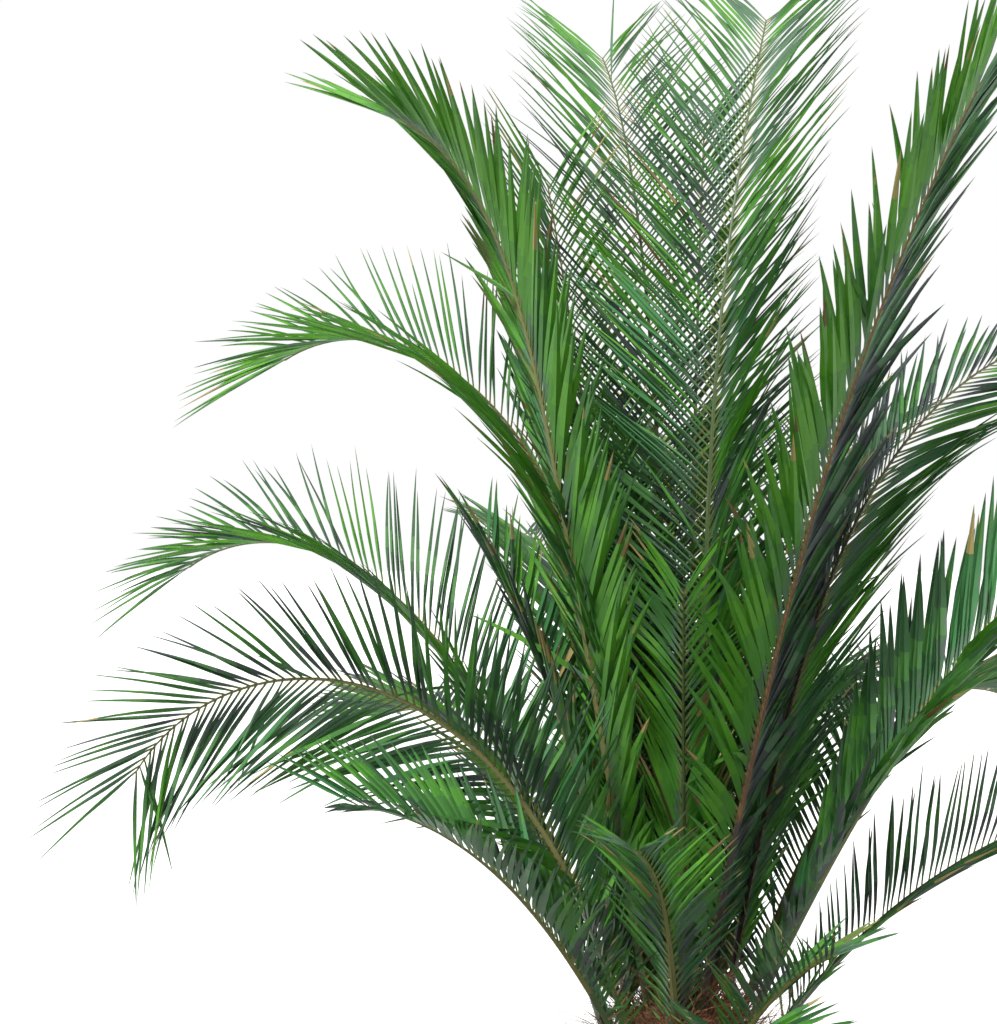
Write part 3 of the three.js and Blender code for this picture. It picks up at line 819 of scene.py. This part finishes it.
def spine_parts(frond, walked, rng):
    """Points and faces of the spines along both edges of the petiole."""
    points, faces = [], []
    for hand in (-1, 1):
        start = SPINES_FROM * frond.length
        u = np.arange(start, PETIOLE * frond.length, SPINE_SPACING) / frond.length
        u = u + rng.normal(0, SPINE_PLACE_NOISE, len(u)) * SPINE_SPACING / frond.length
        along, side, face = framing(frond, u)
        width = between(RIB_WIDTH, u**RIB_TAPER)[:, None]
        opening = np.radians(rng.normal(*SPINE_OPEN, len(u)))[:, None]
        lift = np.radians(rng.normal(*SPINE_LIFT, len(u)))[:, None]
        course = along * np.cos(opening) + hand * side * np.cos(lift) * np.sin(opening)
        course = course + face * np.sin(lift) * np.sin(opening)
        length = between(SPINE_LENGTH, u / PETIOLE)[:, None]
        length = length * rng.uniform(*SPINE_LENGTH_NOISE, (len(u), 1))
        root = points_on(walked, u) + hand * side * width * SPINE_ROOT
        base = [root + along * SPINE_WIDTH, root - along * SPINE_WIDTH, root + face * SPINE_WIDTH]
        tip = root + course * length
        for spine in np.stack([*base, tip], axis=1):
            first = len(points)
            points += list(spine)
            # keeps the faces outwards on both sides
            ring = (0, 1, 2) if hand < 0 else (0, 2, 1)
            a, b, c = (first + k for k in ring)
            faces += [(a, b, c), (b, a, first + 3), (c, b, first + 3), (a, c, first + 3)]
    return np.array(points), faces


print(f"spines of {SPINE_LENGTH[0] * 1000:.0f} to {SPINE_LENGTH[1] * 1000:.0f} mm")

# %% [markdown]
# ## Growing the crown
#
# Now each frond is grown: its rib, its spines and both rows of leaflets. Leaflets and ribs are
# pieces of their own, because they have different finishes, and each stands for the frond's solids.
# The random numbers are seeded by the frond, so the palm comes out the same every time.

# %% Grow the crown
SEED = 1729


def nodes_of(frond):
    """The solids of a frond: one, or two where it is split at its bend."""
    return [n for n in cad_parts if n.removesuffix("_lower").removesuffix("_outer") == frond]


def grow_leaflets(frond, walked, rng):
    """One piece with both rows of leaflets, and how many they are."""
    blocks, slots = [], []
    for hand in (-1, 1):
        u = leaflet_places(frond, hand, rng)
        count = len(u)
        blocks.append(leaflet_points(frond, walked, u, hand, rng))
        slots.append(leaflet_slots(frond, hand, count, rng))
    leaflets = np.concatenate(blocks)
    corners = leaflets.shape[1]
    template = [np.array(face) for face in LEAFLET_FACES]
    faces = [
        tuple(int(c) for c in face + leaf * corners)
        for leaf in range(len(leaflets))
        for face in template
    ]
    piece = new_piece(
        f"frond_{frond.name}_leaflets",
        leaflets.reshape(-1, 3),
        faces,
        np.concatenate(slots).ravel(),
        leaf_materials,
        np.tile(leaflet_uv, (len(leaflets), 1)),
        "leaflet",
    )
    return piece, len(leaflets)


def grow_rib(frond, walked, rng):
    """One piece with the rib and its spines."""
    points, faces, slots, uv = rib_parts(frond, walked)
    spine_points, spine_faces = spine_parts(frond, walked, rng)
    first = len(points)
    faces = faces + [tuple(first + c for c in face) for face in spine_faces]
    slots = slots + [RIB["spine_straw"]] * len(spine_faces)
    spine_uv = np.tile(SPINE_UV, (len(spine_points) // 4, 1))
    return new_piece(
        f"frond_{frond.name}_rib",
        np.vstack([points, spine_points]),
        faces,
        slots,
        rib_materials,
        np.vstack([uv, spine_uv]),
        "rib",
    )


leaflet_total = 0
triangle_total = 0
for number, frond in enumerate(FRONDS):
    rng = np.random.default_rng(SEED + number)
    walked = walk(frond)
    leaflets, leaflet_count = grow_leaflets(frond, walked, rng)
    rib = grow_rib(frond, walked, rng)
    nodes = nodes_of(f"frond_{frond.name}")
    dress(leaflets, nodes)
    dress(rib, nodes)
    leaflet_total += leaflet_count
    triangle_total += triangles_of(leaflets) + triangles_of(rib)
print(f"{leaflet_total} leaflets, {triangle_total} triangles in the crown")

# %% [markdown]
# ## What the trunk is made of
#
# A young date palm's trunk isn't bark. It is a solid core hidden under the stubs of cut leaves, and
# between them the leaf sheaths have frayed into a coarse brown mat of crossing fibres. Three
# finishes show: the matted fibre, the dry skin of the stubs, weathered grey-brown, and the saw cut
# at their ends, straw-coloured and dotted with the bundles that carried the sap.
#
# Dry plant fibre scatters light and hardly shines, so all three are rough. The mat is made of two
# sets of wavy bands that cross at an angle, one of Blender's cheapest ways to a weave. The bundles
# are cells of a Voronoi texture, three to four millimetres apart.

# %% Trunk materials
FIBRE_SPACING = 0.0045
FIBRE_SLANTS = (32, -35)
FIBRE_HEIGHT = 0.003
PATCHES_A_METRE = 26  # about 38 mm each
GRAIN_WIDTH = 0.004
GRAIN_STRETCH = 0.12
GRAIN_HEIGHT = 0.0015
STAIN_SIZE = 0.030
BUNDLE_SPACING = 0.0035
BUNDLE_HEIGHT = 0.0008
CUT_STAINS_A_METRE = 30


def fibre_bands(tree, place, slant):
    """Wavy bands of fibres that climb the trunk at a slant, as a height from 0 to 1."""
    turn = (0, 0, math.radians(slant))
    turned = add(tree, "ShaderNodeMapping", {"Vector": place, "Rotation": turn})
    return add(
        tree,
        "ShaderNodeTexWave",
        {
            "Vector": turned.outputs["Vector"],
            "Scale": math.tau / 20 / FIBRE_SPACING,
            "Distortion": 5.0,
            "Detail": 3.0,
            "Detail Scale": 1.2,
        },
        bands_direction="X",
    ).outputs["Fac"]


def matted_fibre():
    """The mat of frayed leaf sheaths."""
    material, tree, shader = new_material("matted_fibre")
    uv = add(tree, "ShaderNodeUVMap", uv_map="trunk")  # in metres round and up the trunk
    one_way, other_way = (fibre_bands(tree, uv.outputs["UV"], slant) for slant in FIBRE_SLANTS)
    weave = add(tree, "ShaderNodeMath", {0: one_way, 1: other_way}, operation="MAXIMUM")
    where = add(tree, "ShaderNodeTexCoord")
    patches = add(
        tree,
        "ShaderNodeTexNoise",
        {"Vector": where.outputs["Object"], "Scale": PATCHES_A_METRE, "Detail": 7},
    )
    mixed = add(
        tree,
        "ShaderNodeMath",
        {0: weave.outputs[0], 1: patches.outputs["Fac"]},
        operation="MULTIPLY",
    )
    colours = [(0.20, "#24160f"), (0.33, "#54351f"), (0.46, "#7d5538"), (0.60, "#a27e58")]
    tree.links.new(colour_ramp(tree, mixed.outputs[0], colours), shader.inputs["Base Color"])
    shader.inputs["Roughness"].default_value = 0.92
    bump = add(tree, "ShaderNodeBump", {"Height": weave.outputs[0], "Distance": FIBRE_HEIGHT})
    tree.links.new(bump.outputs["Normal"], shader.inputs["Normal"])
    return material


def stub_skin():
    """The weathered outside of a stub, with a grain that runs upwards."""
    material, tree, shader = new_material("stub_skin")
    where = add(tree, "ShaderNodeTexCoord")
    grain_place = add(
        tree,
        "ShaderNodeMapping",
        {"Vector": where.outputs["Object"], "Scale": (1, 1, GRAIN_STRETCH)},
    )
    grain = add(
        tree,
        "ShaderNodeTexNoise",
        {"Vector": grain_place.outputs["Vector"], "Scale": 1 / GRAIN_WIDTH, "Detail": 5},
    )
    stains = add(
        tree,
        "ShaderNodeTexNoise",
        {"Vector": where.outputs["Object"], "Scale": 1 / STAIN_SIZE, "Detail": 3},
    )
    both = add(
        tree,
        "ShaderNodeMix",
        {"Factor": 0.5, "A": grain.outputs["Fac"], "B": stains.outputs["Fac"]},
    )
    colours = [(0.34, "#3a281c"), (0.46, "#6a4f37"), (0.58, "#8d7355"), (0.7, "#a8937a")]
    tree.links.new(colour_ramp(tree, both.outputs["Result"], colours), shader.inputs["Base Color"])
    shader.inputs["Roughness"].default_value = 0.85
    bump = add(tree, "ShaderNodeBump", {"Height": grain.outputs["Fac"], "Distance": GRAIN_HEIGHT})
    tree.links.new(bump.outputs["Normal"], shader.inputs["Normal"])
    return material


def saw_cut():
    """The sawn end of a stub, dotted with bundles."""
    material, tree, shader = new_material("saw_cut")
    where = add(tree, "ShaderNodeTexCoord")
    bundles = add(
        tree,
        "ShaderNodeTexVoronoi",
        {"Vector": where.outputs["Object"], "Scale": 1 / BUNDLE_SPACING, "Randomness": 0.9},
    )
    stains = add(
        tree,
        "ShaderNodeTexNoise",
        {"Vector": where.outputs["Object"], "Scale": CUT_STAINS_A_METRE, "Detail": 4},
    )
    both = add(
        tree,
        "ShaderNodeMix",
        {"Factor": 0.55, "A": bundles.outputs["Distance"], "B": stains.outputs["Fac"]},
    )
    colours = [(0.25, "#5b4630"), (0.42, "#86704e"), (0.6, "#a8926a"), (0.8, "#bfab84")]
    tree.links.new(colour_ramp(tree, both.outputs["Result"], colours), shader.inputs["Base Color"])
    shader.inputs["Roughness"].default_value = 0.8
    bump = add(
        tree, "ShaderNodeBump", {"Height": bundles.outputs["Distance"], "Distance": BUNDLE_HEIGHT}
    )
    tree.links.new(bump.outputs["Normal"], shader.inputs["Normal"])
    return material


trunk_materials = [matted_fibre(), stub_skin(), saw_cut()]
FIBRE_SLOT, SKIN_SLOT, CUT_SLOT = range(3)
print("trunk finishes:", [material.name for material in trunk_materials])

# %% [markdown]
# ## The trunk's core
#
# The core is a grid wrapped round the trunk's profile, which flares at the ground and closes to a
# low dome at the top. Seven low buttresses carry the flare. Noise at three sizes sinks the points of
# the grid: lumps the size of a fist, ridges the width of a finger that run upwards, and, on the
# flare alone, the rootlets that a palm sends down round its foot. Nothing stands out past the
# solid's own radius, and the bottom is one flat cut.

# %% The core
TRUNK_PROFILE = np.array(
    # height above the ground, radius
    [(0, 0.238), (0.035, 0.214), (0.100, 0.184), (0.200, 0.172), (0.320, 0.178)]
    + [(0.400, 0.168), (0.455, 0.142), (0.500, 0.108), (0.530, 0.066), (0.546, 0.024)]
)
TRUNK_TOP = TRUNK_PROFILE[-1, 0]
ROOT_LOBES = 7
ROOT_LOBE_DEPTH = 0.014
ROOT_FLARE_HEIGHT = 0.120
CORE_ROWS = 120
CORE_COLUMNS = 360
CORE_GIRTH_RADIUS = 0.17  # for the fibre's pattern
LUMP = (0.055, 0.007)  # size and depth
RIDGE = (0.014, 0.004)
ROOTLET = (0.013, 0.018)
RIDGE_STRETCH = 0.2
ROOTLET_STRETCH = 0.13
ROOTLETS_END = (0.045, 0.115)  # they fade out between these heights
RELIEF_FADES = 0.1  # below this radius, towards the tip of the dome


def trunk_radius(height):
    return np.interp(height, TRUNK_PROFILE[:, 0], TRUNK_PROFILE[:, 1])


def trunk_centre(height):
    return np.array([*(TRUNK_LEAN * height / TRUNK_TOP), height])


def core_relief(angle, height, radius):
    """How far the core stands back at a place, as a number below 0."""
    around = Vector((math.cos(angle), math.sin(angle), 0)) * radius
    lump = noise.noise((around + Vector((0, 0, height))) / LUMP[0])
    ridge = noise.noise((around + Vector((0, 0, height * RIDGE_STRETCH))) / RIDGE[0])
    rootlet = noise.noise((around + Vector((0, 0, height * ROOTLET_STRETCH))) / ROOTLET[0])
    rooted = ROOTLET[1] * (1 - float(smooth(height, *ROOTLETS_END)))
    return LUMP[1] * (lump - 1) / 2 + RIDGE[1] * (ridge - 1) / 2 - rooted * (1 - abs(rootlet))


def core_parts():
    """Points, faces and UVs of the core."""
    points, uv = [], []
    for height in np.linspace(0, TRUNK_TOP, CORE_ROWS):
        radius = float(trunk_radius(height))
        lobes = ROOT_LOBE_DEPTH * (1 - float(smooth(height, 0, ROOT_FLARE_HEIGHT)))
        for k in range(CORE_COLUMNS):
            angle = math.tau * k / CORE_COLUMNS
            reach = radius + lobes * math.cos(ROOT_LOBES * angle)
            reach += core_relief(angle, height, radius) * min(1.0, radius / RELIEF_FADES)
            spoke = np.array([math.cos(angle), math.sin(angle), 0])
            points.append(trunk_centre(height) + spoke * reach)
            uv.append((angle * CORE_GIRTH_RADIUS, height))
    return np.array(points), tube_faces(CORE_ROWS, CORE_COLUMNS), np.array(uv)


core_points, core_faces, core_uv = core_parts()
print(f"core of {len(core_points)} points")

# %% [markdown]
# ## The stubs of the cut leaves
#
# When an old frond is sawn off, its broad foot stays on the trunk. The feet stand in rows, each row
# shifted by half a stub, like the scales of a pine cone. One stub is lofted through a few rings,
# from the broad foot that clasps the trunk, keeled below as the stalk was, up to the sawn end,
# which faces up and out. Real ones are never alike, so the size, the turn and the cut of each are
# varied by seeded random numbers.

# %% Stubs
BOOT_ROWS = 5
BOOTS_A_ROW = 9
BOOT_FIRST_ROW = 0.092
BOOT_ROW_RISE = 0.062
BOOT_WIDTH, BOOT_HEIGHT, BOOT_STAND, BOOT_SINK = 0.122, 0.092, 0.034, 0.024
BOOT_SIZE = (0.86, 1.02)
BOOT_STAND_SHARE = (0.55, 1.0)
BOOT_TURN = 0.10
BOOT_SWELL = 0.004
BOOT_WOBBLE = 0.0030
CUT_WIDTH, CUT_LOW, CUT_HIGH = 0.060, 0.20, 0.54
CUT_SIZE = (0.75, 1.15)
CUT_SLOPE = 0.10
CUT_ASIDE = 0.007
RIM_SIZE, HEART_SIZE, HEART_DEPTH = 0.86, 0.35, 0.0018
SQUARENESS = 2.4  # 2 is an ellipse
KEEL = 0.40  # how far the lower side is drawn down in the middle, as a share of half the height
TOP_HEIGHT = (0.70, 0.85)  # of the upper side in its middle and at its edges, as such a share
STUB_SIDES = 28
STUB_RINGS = 7


def rounded(angle):
    """A point of a rounded square of half width 1, by angle."""
    c, s = math.cos(angle), math.sin(angle)
    power = 2 / SQUARENESS
    return math.copysign(abs(c) ** power, c), math.copysign(abs(s) ** power, s)


def keeled(across, up):
    """The height of a point of a stub's section, drawn down to a keel and flattened on top."""
    if up < 0:
        return up - KEEL * (1 - abs(across))
    return up * between(TOP_HEIGHT, abs(across))


def stub_points(height, angle, rng):
    """Rings of one stub from its foot to its sawn end, then two more rings across the cut."""
    out = np.array([math.cos(angle), math.sin(angle), 0])
    side = np.array([-out[1], out[0], 0])
    centre = trunk_centre(height)
    skin = float(trunk_radius(height))
    size = rng.uniform(*BOOT_SIZE)
    stand = BOOT_STAND * rng.uniform(*BOOT_STAND_SHARE)
    turn = rng.normal(0, BOOT_TURN)
    cut_size = rng.uniform(*CUT_SIZE)
    cut_slope = rng.normal(0, CUT_SLOPE)
    aside = rng.normal(0, CUT_ASIDE)
    rings = []
    for ring in range(STUB_RINGS):
        share = ring / (STUB_RINGS - 1)
        swell = math.sin(math.pi * share) * BOOT_SWELL
        points = []
        for k in range(STUB_SIDES):
            across, up = rounded(math.tau * k / STUB_SIDES)
            raised = keeled(across, up)
            foot = (skin - BOOT_SINK, across * BOOT_WIDTH / 2, raised * BOOT_HEIGHT / 2)
            level = between((CUT_LOW, CUT_HIGH), (raised + 1) / 2) + cut_slope * across
            cut_reach = skin + stand * min(1.0, (1 - raised) / 2)
            end = (cut_reach, across * cut_size * CUT_WIDTH / 2 + aside, BOOT_HEIGHT * level)
            reach, width, rise = (between((a, b), share) for a, b in zip(foot, end))
            # height and angle are in it so that no two stubs have the same bumps
            place = Vector((across * 4, up * 4 + height * 40, angle * 9))
            reach += swell + BOOT_WOBBLE * noise.noise(place)
            width, rise = width * size + turn * rise, rise * size - turn * width
            points.append(centre + out * reach + side * width + np.array([0, 0, rise]))
        rings.append(points)
    end = np.array(rings[-1])
    middle = end.mean(axis=0)
    quarter = STUB_SIDES // 4
    inwards = -np.cross(end[quarter] - end[0], end[2 * quarter] - end[0])
    inwards /= np.linalg.norm(inwards)
    rim = middle + (end - middle) * RIM_SIZE
    heart = middle + (end - middle) * HEART_SIZE + inwards * HEART_DEPTH
    return np.vstack([np.reshape(rings, (-1, 3)), rim, heart])


def stub_slots():
    """The slots of a stub's faces: its skin up to the saw cut, and the cut beyond."""
    side = [SKIN_SLOT] * (1 + (STUB_RINGS - 1) * STUB_SIDES)
    return side + [CUT_SLOT] * (2 * STUB_SIDES + 1)


def all_stubs(rng):
    """Points, faces and slots of all the stubs, row by row."""
    points, faces, slots = [], [], []
    template = tube_faces(STUB_RINGS + 2, STUB_SIDES)
    for row in range(BOOT_ROWS):
        for k in range(BOOTS_A_ROW):
            angle = math.tau * (k + (row % 2) / 2) / BOOTS_A_ROW
            stub = stub_points(BOOT_FIRST_ROW + row * BOOT_ROW_RISE, angle, rng)
            first = sum(len(p) for p in points)
            faces += [tuple(first + c for c in face) for face in template]
            slots += stub_slots()
            points.append(stub)
    return np.vstack(points), faces, slots


stubs, stub_faces, stub_face_slots = all_stubs(np.random.default_rng(SEED))
stub_uv = stubs[:, 1:] - stubs[:, 1:].min(axis=0)
first_stub_point = len(core_points)
trunk = new_piece(
    "trunk_with_stubs",
    np.vstack([core_points, stubs]),
    core_faces + [tuple(first_stub_point + c for c in face) for face in stub_faces],
    [FIBRE_SLOT] * len(core_faces) + stub_face_slots,
    trunk_materials,
    np.vstack([core_uv, stub_uv]),
    "trunk",
)
dress(trunk, ["trunk"])
print(f"{BOOT_ROWS * BOOTS_A_ROW} stubs, trunk of {triangles_of(trunk)} triangles")

# %% [markdown]
# ## Loose fibres
#
# The mat frays. Stiff brown hairs stand out between the stubs and bristle thickly round the feet of
# the fronds. A Hair system would draw them, but the palm has to be plain meshes, so each hair is a
# thin three-sided tube that bends over as it grows.

# %% Loose fibres
HAIR_RINGS = 6
HAIR_WIDTH = 0.0011
HAIR_TIP_WIDTH = 0.2  # of that width
HAIR_WIDTH_NOISE = (0.6, 1.2)
HAIR_ROOT_DEPTH = 0.012
HAIR_SPREAD = 0.45
CURL_OUT = (0.1, 0.25)  # mean and spread
CURL_SIDE = 0.35
CURL_DOWN = (0.0, 0.5)
HAIR_LOWEST = 0.004
HAIR_TONES_A_METRE = 60


def hair_material():
    """Stiff brown sheath fibre, in tones that change along each hair."""
    material, tree, shader = new_material("loose_fibre")
    where = add(tree, "ShaderNodeTexCoord")
    tone = add(
        tree,
        "ShaderNodeTexNoise",
        {"Vector": where.outputs["Object"], "Scale": HAIR_TONES_A_METRE},
    )
    colours = [(0.35, "#3d2416"), (0.5, "#74472c"), (0.65, "#a1714a")]
    tree.links.new(colour_ramp(tree, tone.outputs["Fac"], colours), shader.inputs["Base Color"])
    shader.inputs["Roughness"].default_value = 0.8
    return material


def hair_block(count, heights, lengths, climb, rng):
    """Hairs rooted on the core between two heights. `climb` is how steeply they rise."""
    height = rng.uniform(*heights, count)
    angle = rng.uniform(0, math.tau, count)
    out = np.stack([np.cos(angle), np.sin(angle), np.zeros(count)], axis=1)
    side = np.stack([-out[:, 1], out[:, 0], np.zeros(count)], axis=1)
    centre = np.array([trunk_centre(h) for h in height])
    root = centre + out * (trunk_radius(height) - HAIR_ROOT_DEPTH)[:, None]
    rise = np.radians(rng.normal(*climb, count))[:, None]
    way = out * np.cos(rise) + UP * np.sin(rise) + side * rng.normal(0, HAIR_SPREAD, (count, 1))
    way /= np.linalg.norm(way, axis=1)[:, None]
    curl = out * rng.normal(*CURL_OUT, (count, 1)) + side * rng.normal(0, CURL_SIDE, (count, 1))
    curl = curl - UP * rng.uniform(*CURL_DOWN, (count, 1))
    length = rng.uniform(*lengths, (count, 1, 1))
    t = np.linspace(0, 1, HAIR_RINGS)[None, :, None]
    line = root[:, None] + way[:, None] * length * t + curl[:, None] * length * t**2
    line[..., 2] = np.maximum(line[..., 2], HAIR_LOWEST)
    thick = HAIR_WIDTH * between((1, HAIR_TIP_WIDTH), t)
    thick = thick * rng.uniform(*HAIR_WIDTH_NOISE, (count, 1, 1))
    across = np.cross(way, UP + 0.01)  # a little off upright, which no hair follows exactly
    across /= np.linalg.norm(across, axis=1)[:, None]
    over = np.cross(across, way)
    ring = [
        line + thick * (across[:, None] * math.cos(turn) + over[:, None] * math.sin(turn))
        for turn in np.radians([90, 210, 330])
    ]
    return np.stack(ring, axis=2).reshape(count, HAIR_RINGS * 3, 3)


rng = np.random.default_rng(SEED + 100)
hairs = np.concatenate(
    [
        # how many, between which heights, how long, and how steep: mean and spread
        hair_block(1600, (0.08, 0.42), (0.03, 0.10), (35, 25), rng),
        hair_block(900, (0.40, 0.535), (0.05, 0.16), (62, 16), rng),
        hair_block(160, (0.02, 0.12), (0.02, 0.06), (5, 25), rng),
    ]
)
hair_template = tube_faces(HAIR_RINGS, 3)
hair_faces = [
    tuple(c + n * HAIR_RINGS * 3 for c in face) for n in range(len(hairs)) for face in hair_template
]
fibres = new_piece(
    "trunk_fibres", hairs.reshape(-1, 3), hair_faces, [0] * len(hair_faces), [hair_material()]
)
dress(fibres, ["trunk"])
print(f"{len(hairs)} loose fibres, {triangles_of(fibres)} triangles")

# %% [markdown]
# ## Floor and light
#
# A plant like this looks best on plain white. The floor is a pale disc so wide that its far edge
# melts into the sky, and the sky is white from a little below the horizon upwards. Below that it is
# a dull grey-green, as the ground is under a real tree: the disc isn't seen by diffuse rays, so the
# lower faces of the leaves get only that dimmer light, and keep the depth that they have outdoors.
# One broad sun from above and to the left of the viewer models the folds.

# %% Floor and light
FLOOR_RADIUS = 60.0
SKY = "#ffffff"
GROUND_SHADE = "#b4b9ab"
SUN_STRENGTH = 3.4
SUN_ANGLE = 14.0
SUN_FROM = Vector((-0.40, -0.75, 0.90))
HORIZON = (-0.25, -0.05)  # how far down the sky turns to the ground's shade, and where it starts

bpy.ops.mesh.primitive_circle_add(vertices=96, radius=FLOOR_RADIUS, fill_type="NGON")
floor = bpy.context.object
floor.name = "floor"
floor_material, _, floor_shader = new_material("pale_floor")
floor_shader.inputs["Base Color"].default_value = linear("#f6f6f4")
floor_shader.inputs["Roughness"].default_value = 0.9
floor.data.materials.append(floor_material)
floor.visible_diffuse = False

world = bpy.data.worlds.new("studio")
bpy.context.scene.world = world
world.use_nodes = True
sky_tree = world.node_tree
direction = add(sky_tree, "ShaderNodeTexCoord")
upwards = add(sky_tree, "ShaderNodeSeparateXYZ", {"Vector": direction.outputs["Generated"]})
brightness = add(
    sky_tree,
    "ShaderNodeMapRange",
    {"Value": upwards.outputs["Z"], "From Min": HORIZON[0], "From Max": HORIZON[1]},
)
sky = colour_ramp(sky_tree, brightness.outputs["Result"], [(0.0, GROUND_SHADE), (1.0, SKY)])
sky_tree.links.new(sky, sky_tree.nodes["Background"].inputs["Color"])

sun = bpy.data.objects.new("sun", bpy.data.lights.new("sun", "SUN"))
sun.data.energy = SUN_STRENGTH
sun.data.angle = math.radians(SUN_ANGLE)
sun.rotation_mode = "QUATERNION"
sun.rotation_quaternion = SUN_FROM.to_track_quat("Z", "Y")
bpy.context.scene.collection.objects.link(sun)
bpy.context.scene.view_settings.view_transform = "Standard"
print(f"sun of {SUN_STRENGTH} W/m2, {SUN_ANGLE:.0f} degrees wide")
